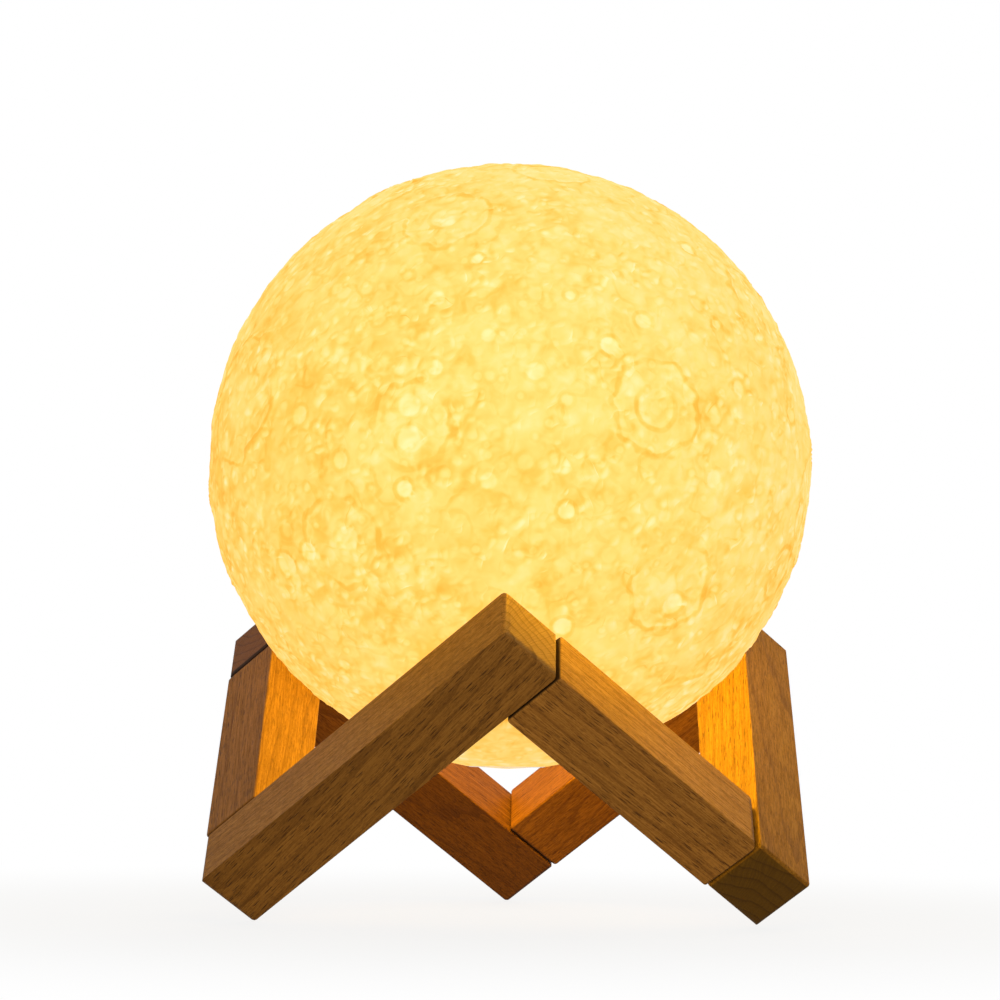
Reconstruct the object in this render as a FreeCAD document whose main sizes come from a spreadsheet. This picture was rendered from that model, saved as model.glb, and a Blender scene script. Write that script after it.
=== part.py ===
"""Moon lamp: a hollow relief globe, lit from inside, resting in a stand of six square wooden bars.

The stand is six edges of a cube that stands on its corner: the edges that touch neither the top
nor the bottom corner. Three long bars run through at both ends and three short bars butt against
them. The globe lies against the inner faces of the three raised corners.

Frame: +Z up, Z = 0 at the floor, the Z axis through the globe's centre, front towards -Y.
Millimetres. Every driving size is a cell of the sheet "sizes".
"""
import FreeCAD, Part

import math
import os
import re

import Sketcher

Vector = FreeCAD.Vector

# name, value in mm (counts and angles as they are), what it is
SIZES = [
    # stand
    ("bar_width", 17, "side of the bars' square section"),
    ("peak_reach", 8.7, "how far a bar's end runs past the spot where the globe bears"),
    ("cradle_gap", 0.3, "clearance between the globe and the bars"),
    ("glue_gap", 0.2, "glue line where a short bar butts against a long one"),
    ("bar_bevel", 0.5, "eased edges of a bar"),
    ("dowel_diameter", 6, "blind dowel in each joint"),
    ("dowel_cover", 6, "wood beyond a dowel's end in the bar that it goes into crosswise"),
    ("dowel_fit", 0.05, "radial clearance of a dowel in its hole"),
    ("dowel_room", 0.5, "room left at each end of a dowel"),
    ("foot_flat", 0.75, "depth of the flat sanded on each lowest corner"),
    # globe
    ("moon_diameter", 150, "globe over its highest relief"),
    ("shade_wall", 2, "wall of the globe"),
    ("swell_depth", 0.5, "most that the rolling ground lies below the full radius"),
    ("opening_diameter", 40, "opening at the globe's south pole"),
    ("land_rise", 7.2, "height above the south pole of the flat land round the opening, inside"),
    # mounting collar, glued into the opening
    ("part_gap", 0.15, "gap round the parts that fill the opening"),
    ("collar_wrap", 0.4, "gap between the collar and the column"),
    ("lip_width", 4.5, "width of the collar's lip, which lies on the land"),
    ("lip_height", 4, "height of that lip"),
    # base cap that closes the opening
    ("cap_plate", 4.4, "cap thickness in its middle"),
    ("shoulder_inset", 0.2, "from the touch ring out to where the slope of the cap's face changes"),
    ("ring_inset", 0.6, "cap left between the button and the touch ring"),
    ("ring_width", 1.9, "touch ring, width of its band"),
    ("ring_thickness", 1.3, "touch ring, thickness"),
    ("ring_rise", 0.5, "outer face of the touch ring, above the south pole"),
    ("ring_bevel", 0.4, "bevel of the ring's outer edge"),
    ("close_fit", 0.05, "gap round the ring, the light pipe, the contact pin and tight screws"),
    ("post_width", 1.6, "side of the square posts that carry the control board"),
    ("post_height", 4, "height of the posts"),
    ("post_inset", 1.8, "posts' centres, from the control board's corners"),
    # screws of the cap
    ("screw_circle_diameter", 31.2, "circle of the three cap screws"),
    ("screw_shank_diameter", 2.2, "shank of a cap screw"),
    ("screw_head_diameter", 4, "head of a cap screw"),
    ("screw_head_height", 0.95, "height of that head"),
    ("screw_length", 6.4, "shank length of a cap screw"),
    ("screw_sink", 1.3, "cap left under a screw head"),
    ("screw_clearance", 0.2, "radial clearance of a shank in cap and flange"),
    # column that holds the battery and the light
    ("column_wall", 1.5, "column, wall"),
    ("column_height", 54, "column, from its flange's underside to its top"),
    ("column_flange", 1.8, "thickness of the column's flange"),
    ("column_top", 1.6, "thickness of the column's top plate"),
    # electronics
    ("board_fit", 0.2, "radial gap between the control board and the column"),
    ("board_thickness", 1.6, "control board and light board"),
    ("socket_width", 7.5, "charging socket, outside width"),
    ("socket_depth", 2.7, "charging socket, outside depth"),
    ("socket_length", 6.5, "charging socket, length"),
    ("socket_skin", 0.35, "charging socket, sheet thickness"),
    ("socket_corner", 0.7, "charging socket, its two cut corners"),
    ("socket_fit", 0.25, "gap round the socket in the cap"),
    ("tongue_width", 5.2, "contact tongue, width"),
    ("tongue_thickness", 0.7, "contact tongue, thickness"),
    ("tongue_length", 4.6, "contact tongue, length"),
    ("button_room", 0.45, "room between the button's flange and the charging socket"),
    ("button_diameter", 4.6, "button, stem diameter"),
    ("button_flange_diameter", 6.4, "button, flange diameter"),
    ("button_flange_thickness", 0.55, "button, flange thickness"),
    ("button_rise", 0.4, "outer face of the button, above the south pole"),
    ("button_bevel", 0.25, "bevel of the button's face"),
    ("button_play", 0.1, "running clearance round the button and its plunger"),
    ("button_travel", 0.4, "travel of the button"),
    ("switch_width", 6, "side of the switch under the button"),
    ("switch_height", 2.8, "height of the switch"),
    ("plunger_width", 3, "side of the switch's square plunger"),
    ("plunger_length", 1.9, "length of the plunger"),
    ("pipe_offset", 4.2, "light pipe, from the cap's centre"),
    ("pipe_diameter", 2, "light pipe, diameter"),
    ("pipe_rise", 0.3, "outer face of the light pipe, above the south pole"),
    ("indicator_height", 0.5, "height of the indicator chip over the pipe"),
    ("indicator_width", 1.6, "side of the indicator chip"),
    ("pin_width", 1.1, "square contact pin of the touch ring"),
    ("battery_diameter", 18.3, "battery cell"),
    ("battery_length", 35, "battery cell, with its terminal"),
    ("battery_rise", 3, "battery cell above the control board"),
    ("terminal_diameter", 6, "raised terminal of the cell"),
    ("terminal_height", 0.8, "height of that terminal"),
    ("pad_length", 36, "foam pads between the control board and the cell's shoulder"),
    ("pad_thickness", 1.35, "thickness of the foam pads"),
    ("pad_gap", 0.1, "gap between the pads, the cell and the column"),
    ("pad_angle", 130, "arc of one foam pad, degrees"),
    ("tab_width", 3, "contact tabs of the cell"),
    ("tab_thickness", 0.3, "sheet of those tabs"),
    ("tab_overlap", 2, "how far the upper tab runs past the middle of the terminal"),
    ("tab_offset", 4, "lower tab, from the column's axis"),
    ("light_board_width", 26.8, "six-sided light board, across its flats"),
    ("chip_width", 5, "side of a light chip"),
    ("chip_height", 1.6, "height of a light chip"),
    ("chip_circle_diameter", 20.6, "circle of the light chips"),
    ("chip_count", 6, "number of light chips"),
    ("fixing_circle_diameter", 9, "circle of the two light board screws"),
    ("fixing_shank_diameter", 1.6, "shank of a light board screw"),
    ("fixing_head_diameter", 3.2, "head of a light board screw"),
    ("fixing_head_height", 1.2, "height of that head"),
    ("wire_width", 0.9, "side of an insulated wire"),
    ("wire_inset", 0.75, "wire's centre line, from the column's inner wall"),
    ("wire_spacing", 2.4, "distance between the two light wires"),
    ("wire_slot", 1.3, "width of the slot for the wires in the column's top"),
]

# parts on top of the control board: name, length, width, height and place of their centre
BOARD_PARTS = [
    ("charger", 5, 4, 1.4, 0, 0),
    ("coil", 4, 4, 1.8, -5, 3),
    ("driver", 3, 3, 1, 5, 3),
    ("first_resistor", 2, 1.2, 0.6, -4.5, -5.5),
    ("second_resistor", 2, 1.2, 0.6, -1, -5.5),
    ("third_resistor", 2, 1.2, 0.6, 2, -5.5),
]
for part_name, *part_sizes in BOARD_PARTS:
    for part_size, value in zip(("length", "width", "height", "x", "y"), part_sizes):
        meaning = f"{part_name.replace('_', ' ')}, {part_size}"
        SIZES.append((f"{part_name}_{part_size}", value, meaning))

# name, formula, what it is
DERIVED = [
    ("moon_radius", "moon_diameter / 2", "radius of the globe over its highest relief"),
    ("frame_edge", "moon_radius + cradle_gap + bar_width + peak_reach", "edge of the cube"),
    ("stand_drop", "(frame_edge - bar_width) / sqrt(3) + foot_flat", "cube's corner below the floor"),
    ("dowel_length", "2 * (bar_width - dowel_cover)", "length of a dowel"),
    ("moon_rise", "sqrt(3) * (moon_radius + cradle_gap + bar_width) - stand_drop - moon_radius",
     "south pole of the globe above the floor"),
    ("cap_radius", "opening_diameter / 2 - part_gap", "radius of the cap, flange and spigot"),
    ("board_rise", "cap_plate + post_height", "underside of the control board"),
    ("screw_hole", "screw_shank_diameter + 2 * screw_clearance", "clearance hole of a cap screw"),
    ("head_hole", "screw_head_diameter + 2 * screw_clearance", "hole for a cap screw's head"),
    ("board_top", "board_rise + board_thickness", "upper face of the control board"),
    ("collar_rise", "cap_plate + column_flange", "underside of the collar"),
    ("column_bore", "battery_diameter / 2 + pad_thickness + 2 * pad_gap", "inner radius of the column"),
    ("column_radius", "column_bore + column_wall", "outer radius of the column"),
    ("column_end", "cap_plate + column_height", "top of the column"),
    ("chip_rise", "column_end + board_thickness", "upper face of the light board"),
    ("socket_mouth", "board_rise - socket_length", "mouth of the charging socket"),
    ("button_shelf", "cap_plate + close_fit", "underside of the button's flange"),
    ("plunger_rise", "button_shelf + button_flange_thickness", "underside of the plunger"),
    ("battery_foot", "board_top + battery_rise", "lower end of the battery cell"),
    ("ring_seat", "ring_rise + ring_thickness", "inner end of the touch ring's groove"),
    ("button_offset", "(socket_depth + button_flange_diameter) / 2 + button_room",
     "button, from the cap's centre"),
    ("ring_inner", "button_offset + button_diameter / 2 + ring_inset", "touch ring, inner radius"),
    ("ring_outer", "ring_inner + ring_width", "touch ring, outer radius"),
    ("pin_offset", "ring_inner + ring_width / 2", "contact pin, from the cap's centre"),
    ("wire_offset", "column_bore - wire_inset", "wires, from the column's axis"),
    ("battery_end", "battery_foot + battery_length", "upper end of the cell's terminal"),
    ("cap_edge", "moon_radius - sqrt(moon_radius ^ 2 - cap_radius ^ 2)", "foot of the cap's rim"),
    ("shoulder", "ring_outer + shoulder_inset", "radius where the slope of the cap's face changes"),
    ("shoulder_rise", "moon_radius - sqrt(moon_radius ^ 2 - shoulder ^ 2)", "height of that shoulder"),
]

# Turns about the vertical axis, in degrees.
BAR_TURNS = (0, -120, -240)    # the three like bars of a ring
SCREW_TURNS = (90, 210, 330)   # cap screws
FIXING_TURNS = (0, 180)        # light board screws
POST_TURNS = (60, 180, 300)    # posts under the control board
PAD_TURNS = (0, 180)           # foam pads
CONTROL_BOARD_SIDES = 12
LIGHT_BOARD_SIDES = 6

# The large ring plains of the globe: longitude (0 at the front, + to the right), latitude,
# radius and depth, the depth in thousandths of the globe's radius.
RING_PLAINS = [
    (27.5, 7.0, 9.0, 9),
    (34.5, -26.0, 9.5, 10),
    (-33.0, -17.5, 8.0, 6),
    (-17.5, 3.0, 7.5, 6),
    (-62.0, 10.0, 12.0, 9),
    (-17.0, 47.0, 8.0, 7),
    (5.0, 12.5, 7.0, 5),
    (68.0, 30.0, 9.0, 8),
    (82.0, -8.0, 11.0, 9),
    (62.0, -52.0, 8.0, 8),
    (112.0, 22.0, 10.0, 9),
    (98.0, -36.0, 10.0, 9),
    (152.0, 4.0, 9.0, 9),
    (164.0, 48.0, 11.0, 9),
    (168.0, -26.0, 11.0, 10),
    (-146.0, 18.0, 13.0, 10),
    (-146.0, -46.0, 9.0, 8),
    (-108.0, 40.0, 9.0, 8),
    (-92.0, -14.0, 10.0, 9),
    (-72.0, -46.0, 8.0, 8),
    (-58.0, 58.0, 9.0, 7),
    (96.0, 62.0, 8.0, 8),
    (20.0, 68.0, 7.0, 6),
]
RIM_SHARE = 0.3        # height of a plain's rim, as a share of its depth
RIM_SPREAD = 0.22      # width of the rim, as a share of the plain's radius
ROLL_WAVES = ((3.1, 1.2), (2.7, -0.4), (2.3, 2.4))    # rolling ground: waves along x, y and z
ROLL_MEAN = 0.6        # mean depth of the rolling ground, as a share of swell_depth
ROLL_SWING = 0.4       # its swing about that mean
GLOBE_FACETS = 11      # facets along each of the geodesic globe's thirty edges
CAVITY_FACETS = 5      # the same inside, where the wall is smooth
CORNER_REACH = 2.1     # an icosahedron's corners lie 2 from their neighbours and more from others
CALM_LATITUDE = -70    # from here to the south pole the ground is smooth, for the cap to be flush
CALM_RANGE = 12        # degrees over which the relief fades out
JOIN_DISTANCE = 0.001  # facet corners nearer than this are one corner

doc = FreeCAD.newDocument("moon_lamp")
sheet = doc.addObject("Spreadsheet::Sheet", "sizes")
ALIASES = {name for name, _, _ in SIZES + DERIVED}
sub_parts = []


def fill_sheet():
    """Writes each size and each derived size into the sheet, with its alias and its meaning."""
    for row, (name, value, meaning) in enumerate(SIZES + DERIVED, start=1):
        derived = isinstance(value, str)
        sheet.set(f"B{row}", f"={value}" if derived else str(value))
        sheet.setAlias(f"B{row}", name)
        sheet.set(f"C{row}", meaning)
    doc.recompute()


def linked(formula):
    """The formula with each of its sizes written as a cell of the sheet."""
    def cell(word):
        return f"sizes.{word[0]}" if word[0] in ALIASES else word[0]

    return re.sub(r"[a-z_]+", cell, formula)


def size(formula):
    """The present value of a size or a formula of sizes."""
    value = sheet.evalExpression(linked(formula))
    return float(getattr(value, "Value", value))


def bind(target, **formulas):
    """Ties properties of an object to formulas of the sheet's sizes."""
    for name, formula in formulas.items():
        target.setExpression(name, linked(formula))
    return target


def place(target, x="0", y="0", z="0", rotation=None):
    """Places an object by formulas; z counts from the globe's south pole."""
    if rotation:
        target.Placement = FreeCAD.Placement(Vector(), rotation)
    for axis, formula in (("x", x), ("y", y), ("z", z)):
        target.setExpression(f".Placement.Base.{axis}", linked(formula))
    return target


def finish(target, name):
    """Names a finished sub-part."""
    target.Label = name
    sub_parts.append(target)
    return target


# ---- sketches and features ------------------------------------------------------------------

def new_body(name):
    return doc.addObject("PartDesign::Body", name)


def new_sketch(body, plane, offset="0"):
    """A sketch on one of the body's own origin planes, moved along the plane's normal."""
    sketch = body.newObject("Sketcher::SketchObject", "sketch")
    support = next(item for item in body.Origin.OriginFeatures if item.Role == plane)
    sketch.AttachmentSupport = [(support, "")]
    sketch.MapMode = "FlatFace"
    sketch.setExpression(".AttachmentOffset.Base.z", linked(offset))
    return sketch


def hold_point(sketch, line, end, x, y):
    """Fixes one end of a sketch line at formulas of the sizes."""
    for kind, axis, formula in (("DistanceX", -2, x), ("DistanceY", -1, y)):
        if formula == "0":
            sketch.addConstraint(Sketcher.Constraint("PointOnObject", line, end, axis))
            continue
        number = sketch.addConstraint(Sketcher.Constraint(kind, -1, 1, line, end, size(formula)))
        sketch.setExpression(f"Constraints[{number}]", linked(formula))


def draw_outline(sketch, corners):
    """A closed outline of straight lines through corners given by formulas."""
    spots = [Vector(size(x), size(y), 0) for x, y in corners]
    lines = [sketch.addGeometry(Part.LineSegment(a, b), False)
             for a, b in zip(spots, spots[1:] + spots[:1])]
    for line, following in zip(lines, lines[1:] + lines[:1]):
        sketch.addConstraint(Sketcher.Constraint("Coincident", line, 2, following, 1))
    for line, (x, y) in zip(lines, corners):
        hold_point(sketch, line, 1, x, y)


def draw_circle(sketch, x, y, diameter):
    """A circle whose centre and diameter are formulas."""
    spot = Vector(size(x), size(y), 0)
    circle = sketch.addGeometry(Part.Circle(spot, Vector(0, 0, 1), size(diameter) / 2), False)
    hold_point(sketch, circle, 3, x, y)
    number = sketch.addConstraint(Sketcher.Constraint("Diameter", circle, size(diameter)))
    sketch.setExpression(f"Constraints[{number}]", linked(diameter))


def rectangle(x_low, x_high, y_low, y_high):
    return [(x_low, y_low), (x_high, y_low), (x_high, y_high), (x_low, y_high)]


def add_feature(body, kind, sketch, **settings):
    """Adds a sketch feature and checks that it adds or removes what its kind should."""
    doc.recompute()
    before = body.Shape.Volume if body.Tip and body.Tip.isDerivedFrom("PartDesign::Feature") else 0
    feature = body.newObject(f"PartDesign::{kind}", kind.lower())
    feature.Profile = sketch
    for name, value in settings.items():
        if name.startswith("by_"):
            feature.setExpression(name[3:], linked(value))
        else:
            setattr(feature, name, value)
    doc.recompute()
    removes = kind in ("Pocket", "Groove")
    change = feature.Shape.Volume - before
    if (change >= 0) if removes else (change <= 0):
        raise RuntimeError(f"{body.Name}: {kind} changed the volume by {change:.3f}")
    return feature


def turned(name, corners):
    """A body turned about its vertical axis from an outline of (radius, height) formulas."""
    body = new_body(name)
    sketch = new_sketch(body, "XZ_Plane")
    draw_outline(sketch, corners)
    add_feature(body, "Revolution", sketch, ReferenceAxis=(sketch, ["V_Axis"]), Angle=360)
    return body


def bore_holes(body, holes):
    """Cuts round holes right through a turned body; each hole is (x, y, diameter)."""
    sketch = new_sketch(body, "XY_Plane")
    for x, y, diameter in holes:
        draw_circle(sketch, x, y, diameter)
    add_feature(body, "Pocket", sketch, Type="ThroughAll", Midplane=True)


def polar(circle, degrees):
    """Formulas for a point on a circle, given by its diameter's formula and an angle."""
    turn = math.radians(degrees)
    return (f"({circle}) / 2 * {math.cos(turn):.6f}", f"({circle}) / 2 * {math.sin(turn):.6f}")


def screw_places():
    """Where the cap screws stand, as formulas."""
    return [polar("screw_circle_diameter", degrees) for degrees in SCREW_TURNS]


def fixing_places():
    """Where the light board screws stand, as formulas."""
    return [polar("fixing_circle_diameter", degrees) for degrees in FIXING_TURNS]


def cylinder(name, diameter, height, x="0", y="0", z="0"):
    """An upright round primitive on the globe's axis frame."""
    item = doc.addObject("Part::Cylinder", name)
    bind(item, Radius=f"({diameter}) / 2", Height=height)
    return place(item, x, y, z)


def block(name, length, width, height, x="0", y="0", z="0"):
    """An upright block centred on x and y."""
    item = doc.addObject("Part::Box", name)
    bind(item, Length=length, Width=width, Height=height)
    return place(item, f"{x} - ({length}) / 2", f"{y} - ({width}) / 2", z)


def combined(kind, name, base, tool):
    """A boolean of two objects: Cut or Fuse."""
    item = doc.addObject(f"Part::{kind}", name)
    item.Base = base
    item.Tool = tool
    return item


def group(name, members):
    """Several separate solids of one kind as one sub-part."""
    item = doc.addObject("Part::Compound", name)
    item.Links = members
    return item


def lift(target):
    """Raises a sub-part from the globe's own frame, zero at its south pole, to its place."""
    return place(target, z="moon_rise")


# ---- stand ------------------------------------------------------------------------------------

# The cube's edge directions, leaving its bottom corner: to the front left, the front right, the
# back. A bar's body has them as its X, Y and Z.
CUBE_AXES = (
    Vector(-math.sqrt(1 / 2), -math.sqrt(1 / 6), math.sqrt(1 / 3)),
    Vector(math.sqrt(1 / 2), -math.sqrt(1 / 6), math.sqrt(1 / 3)),
    Vector(0, math.sqrt(2 / 3), math.sqrt(1 / 3)),
)
CUBE_TILT = FreeCAD.Rotation(*CUBE_AXES, "XYZ")


def cube_placement(degrees):
    """Stands the cube on its corner, turned about the vertical, with the feet on the floor."""
    turn = FreeCAD.Rotation(Vector(0, 0, 1), degrees)
    return turn.multiply(CUBE_TILT)


def ease_edges(body):
    """Bevels every edge of a bar's blank."""
    names = [f"Edge{number}" for number in range(1, len(body.Shape.Edges) + 1)]
    base = body.Tip
    bevel = body.newObject("PartDesign::Chamfer", "bevel")
    bevel.Base = (base, names)
    bind(bevel, Size="bar_bevel")
    doc.recompute()


def drill(body, plane, offset, reversed_side):
    """A blind dowel hole on a short bar's axis, from a face at the offset of an origin plane."""
    sketch = new_sketch(body, plane, offset)
    draw_circle(sketch, "frame_edge - bar_width / 2", "bar_width / 2", "dowel_diameter + 2 * dowel_fit")
    add_feature(body, "Pocket", sketch, by_Length="dowel_length / 2 + dowel_room", Reversed=reversed_side)


def make_long_bar(name, degrees):
    """A bar as long as the cube's edge. It is drawn as the front left one: it lies along Y,
    at the far end of X and the near end of Z."""
    body = new_body(f"{name}_blank")
    sketch = new_sketch(body, "YZ_Plane", "frame_edge - bar_width")
    draw_outline(sketch, rectangle("0", "frame_edge", "0", "bar_width"))
    add_feature(body, "Pad", sketch, by_Length="bar_width")
    ease_edges(body)
    # the short bar beside its raised end and the short bar on its low end
    drill(body, "YZ_Plane", "frame_edge - bar_width", True)
    drill(body, "XY_Plane", "bar_width", False)
    place(body, z="-stand_drop", rotation=cube_placement(degrees))
    # the lowest corner is sanded flat, to stand on
    floor = doc.addObject("Part::Box", f"{name}_floor")
    bind(floor, Length="2 * frame_edge", Width="2 * frame_edge", Height="stand_drop")
    place(floor, "-frame_edge", "-frame_edge", "-stand_drop")
    finish(combined("Cut", f"{name}_sanded", body, floor), name)


def make_short_bar(name, degrees):
    """A bar between two long ones. It is drawn as the front right one: it lies along X, at the
    far end of Y and the near end of Z."""
    body = new_body(f"{name}_blank")
    sketch = new_sketch(body, "XZ_Plane", "-frame_edge")
    draw_outline(sketch, rectangle("bar_width + glue_gap", "frame_edge - bar_width - glue_gap",
                                   "0", "bar_width"))
    add_feature(body, "Pad", sketch, by_Length="bar_width")
    ease_edges(body)
    drill(body, "YZ_Plane", "bar_width + glue_gap", True)
    drill(body, "YZ_Plane", "frame_edge - bar_width - glue_gap", False)
    finish(place(body, z="-stand_drop", rotation=cube_placement(degrees)), name)


def make_dowel(centre_along, degrees):
    """A dowel on the axis of a short bar, centred at a place along it."""
    body = new_body("dowel")
    sketch = new_sketch(body, "YZ_Plane", f"{centre_along} - dowel_length / 2")
    draw_circle(sketch, "frame_edge - bar_width / 2", "bar_width / 2", "dowel_diameter")
    add_feature(body, "Pad", sketch, by_Length="dowel_length")
    return place(body, z="-stand_drop", rotation=cube_placement(degrees))


def make_stand():
    for name, degrees in zip(("front_left_bar", "back_left_bar", "right_bar"), BAR_TURNS):
        make_long_bar(name, degrees)
    for name, degrees in zip(("front_right_bar", "left_bar", "back_right_bar"), BAR_TURNS):
        make_short_bar(name, degrees)
    dowels = [make_dowel(spot, degrees)
              for degrees in BAR_TURNS
              for spot in ("bar_width + glue_gap / 2", "frame_edge - bar_width - glue_gap / 2")]
    finish(group("dowel_set", dowels), "dowels")


# ---- globe ------------------------------------------------------------------------------------

def geodesic(frequency):
    """Unit points and triangles of an icosahedron divided evenly and blown up to a sphere."""
    golden = (1 + math.sqrt(5)) / 2
    corners = []
    for a in (-1, 1):
        for b in (-golden, golden):
            corners += [Vector(0, a, b), Vector(a, b, 0), Vector(b, 0, a)]
    points = []
    numbers = {}
    triangles = []

    def number_of(point):
        point = Vector(point).normalize()
        key = (round(point.x, 6), round(point.y, 6), round(point.z, 6))
        if key not in numbers:
            numbers[key] = len(points)
            points.append(point)
        return numbers[key]

    def divide(p, q, r):
        def at(i, j):
            return number_of(p * (frequency - i - j) + q * i + r * j)

        for i in range(frequency):
            for j in range(frequency - i):
                triangles.append((at(i, j), at(i + 1, j), at(i, j + 1)))
                if i + j < frequency - 1:
                    triangles.append((at(i + 1, j), at(i + 1, j + 1), at(i, j + 1)))

    for i, p in enumerate(corners):
        for j, q in enumerate(corners[:i]):
            for r in corners[:j]:
                sides = (p.distanceToPoint(q), q.distanceToPoint(r), r.distanceToPoint(p))
                if max(sides) < CORNER_REACH:
                    outward = (q - p).cross(r - p).dot(p) > 0
                    divide(p, q, r) if outward else divide(p, r, q)
    return points, triangles


def direction(longitude, latitude):
    """Unit vector of a place on the globe; longitude 0 faces the front."""
    turn, rise = math.radians(longitude), math.radians(latitude)
    return Vector(math.sin(turn) * math.cos(rise), -math.cos(turn) * math.cos(rise), math.sin(rise))


def ring_plain_height(point, plain):
    """Height of one ring plain at a unit point, as a share of its depth: floor, wall and rim."""
    centre, radius = plain
    reach = math.degrees(point.getAngle(centre)) / radius
    if reach < 1:
        return (1 + RIM_SHARE) * reach ** 4 - 1
    return RIM_SHARE * math.exp(-((reach - 1) / RIM_SPREAD) ** 2)


def ground_radius(point, plains, radius, swell):
    """Distance of the globe's surface from its centre in the direction of a unit point."""
    roll = 1
    for place_along, (pitch, phase) in zip(point, ROLL_WAVES):
        roll *= math.sin(pitch * place_along + phase)
    depth = swell * (ROLL_MEAN - ROLL_SWING * roll)
    for centre, spread, share in plains:
        depth -= share * radius / 1000 * ring_plain_height(point, (centre, spread))
    latitude = math.degrees(math.asin(max(-1, min(1, point.z))))
    calm = max(0, min(1, (latitude - CALM_LATITUDE) / CALM_RANGE))
    return radius - max(0, depth) * calm


def closed_globe(frequency, radius_at):
    """A solid of flat facets whose corners lie at radius_at(unit point)."""
    points, triangles = geodesic(frequency)
    shape = Part.Shape()
    corners = [point * radius_at(point) for point in points]
    shape.makeShapeFromMesh((corners, triangles), JOIN_DISTANCE)
    return Part.Solid(shape.Shells[0])


def make_globe():
    """The lit globe: a thin shell with ring plains, a round opening at its south pole and a flat
    land round that inside, where the cavity is cut off."""
    radius, swell = size("moon_radius"), size("swell_depth")
    wall = size("shade_wall")
    plains = [(direction(longitude, latitude), spread, depth)
              for longitude, latitude, spread, depth in RING_PLAINS]
    ground = closed_globe(GLOBE_FACETS, lambda point: ground_radius(point, plains, radius, swell))
    cavity = closed_globe(CAVITY_FACETS, lambda point: radius - wall)
    for shape in (ground, cavity):
        shape.translate(Vector(0, 0, radius))
    below_land = Part.makeBox(2 * radius, 2 * radius, size("land_rise"), Vector(-radius, -radius, 0))
    opening = Part.makeCylinder(size("opening_diameter / 2"), radius)
    shell = ground.cut(cavity.cut(below_land)).cut(opening)
    item = doc.addObject("Part::Feature", "globe")
    item.Shape = shell
    finish(lift(item), "moon_shade")


def make_collar():
    """The ring glued into the opening: a spigot, a lip on the land and three screw holes."""
    inner = "column_radius + collar_wrap"
    lip = "opening_diameter / 2 + lip_width"
    body = turned("collar", [
        (inner, "collar_rise"),
        ("cap_radius", "collar_rise"),
        ("cap_radius", "land_rise"),
        (lip, "land_rise"),
        (lip, "land_rise + lip_height"),
        (inner, "land_rise + lip_height"),
    ])
    bore_holes(body, [(*spot, "screw_shank_diameter + 2 * close_fit") for spot in screw_places()])
    finish(lift(body), "mounting_collar")


# ---- base module --------------------------------------------------------------------------------

def make_base_cap():
    """The cap that closes the opening, carries the globe's shape on and holds the controls."""
    body = turned("cap", [
        ("0", "0"),
        ("shoulder", "shoulder_rise"),
        ("cap_radius", "cap_edge"),
        ("cap_radius", "cap_plate"),
        ("0", "cap_plate"),
    ])
    sketch = new_sketch(body, "XY_Plane", "ring_seat")
    draw_circle(sketch, "0", "0", "2 * (ring_outer + close_fit)")
    draw_circle(sketch, "0", "0", "2 * (ring_inner - close_fit)")
    add_feature(body, "Pocket", sketch, Type="ThroughAll")
    # charging socket
    sketch = new_sketch(body, "XY_Plane")
    half_width = "(socket_width / 2 + socket_fit)"
    half_depth = "(socket_depth / 2 + socket_fit)"
    draw_outline(sketch, rectangle(f"-{half_width}", half_width, f"-{half_depth}", half_depth))
    add_feature(body, "Pocket", sketch, Type="ThroughAll", Midplane=True)
    # contact pin of the touch ring
    sketch = new_sketch(body, "XY_Plane")
    half_pin = "(pin_width / 2 + close_fit)"
    draw_outline(sketch, rectangle(f"pin_offset - {half_pin}", f"pin_offset + {half_pin}",
                                   f"-{half_pin}", half_pin))
    add_feature(body, "Pocket", sketch, Type="ThroughAll", Midplane=True)
    bore_holes(body, [
        ("0", "button_offset", "button_diameter + 2 * button_play"),
        ("0", "-pipe_offset", "pipe_diameter + 2 * close_fit"),
    ])
    bore_holes(body, [(*spot, "screw_hole") for spot in screw_places()])
    sketch = new_sketch(body, "XY_Plane", "cap_plate - screw_sink")
    for spot in screw_places():
        draw_circle(sketch, *spot, "head_hole")
    add_feature(body, "Pocket", sketch, Type="ThroughAll")
    sketch = new_sketch(body, "XY_Plane", "cap_plate")
    for degrees in POST_TURNS:
        x, y = polar("2 * (column_bore - board_fit - post_inset)", degrees)
        draw_outline(sketch, rectangle(f"{x} - post_width / 2", f"{x} + post_width / 2",
                                       f"{y} - post_width / 2", f"{y} + post_width / 2"))
    add_feature(body, "Pad", sketch, by_Length="post_height")
    finish(lift(body), "base_cap")


def make_touch_ring():
    body = turned("ring", [
        ("ring_inner", "ring_seat"),
        ("ring_inner", "ring_rise"),
        ("ring_outer - ring_bevel", "ring_rise"),
        ("ring_outer", "ring_rise + ring_bevel"),
        ("ring_outer", "ring_seat"),
    ])
    finish(lift(body), "touch_ring")
    pin = block("pin", "pin_width", "pin_width", "board_rise - ring_seat", "pin_offset", "0", "ring_seat")
    finish(lift(group("pin_set", [pin])), "ring_contact_pin")


def socket_outline(inset):
    """The socket's cross-section, two of its corners cut, drawn in by the inset."""
    wide, deep = f"(socket_width / 2 - {inset})", f"(socket_depth / 2 - {inset})"
    corner = f"(socket_corner - {inset} / 2)"
    return [
        (f"-({wide} - {corner})", f"-{deep}"),
        (f"({wide} - {corner})", f"-{deep}"),
        (wide, f"-({deep} - {corner})"),
        (wide, deep),
        (f"-{wide}", deep),
        (f"-{wide}", f"-({deep} - {corner})"),
    ]


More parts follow.
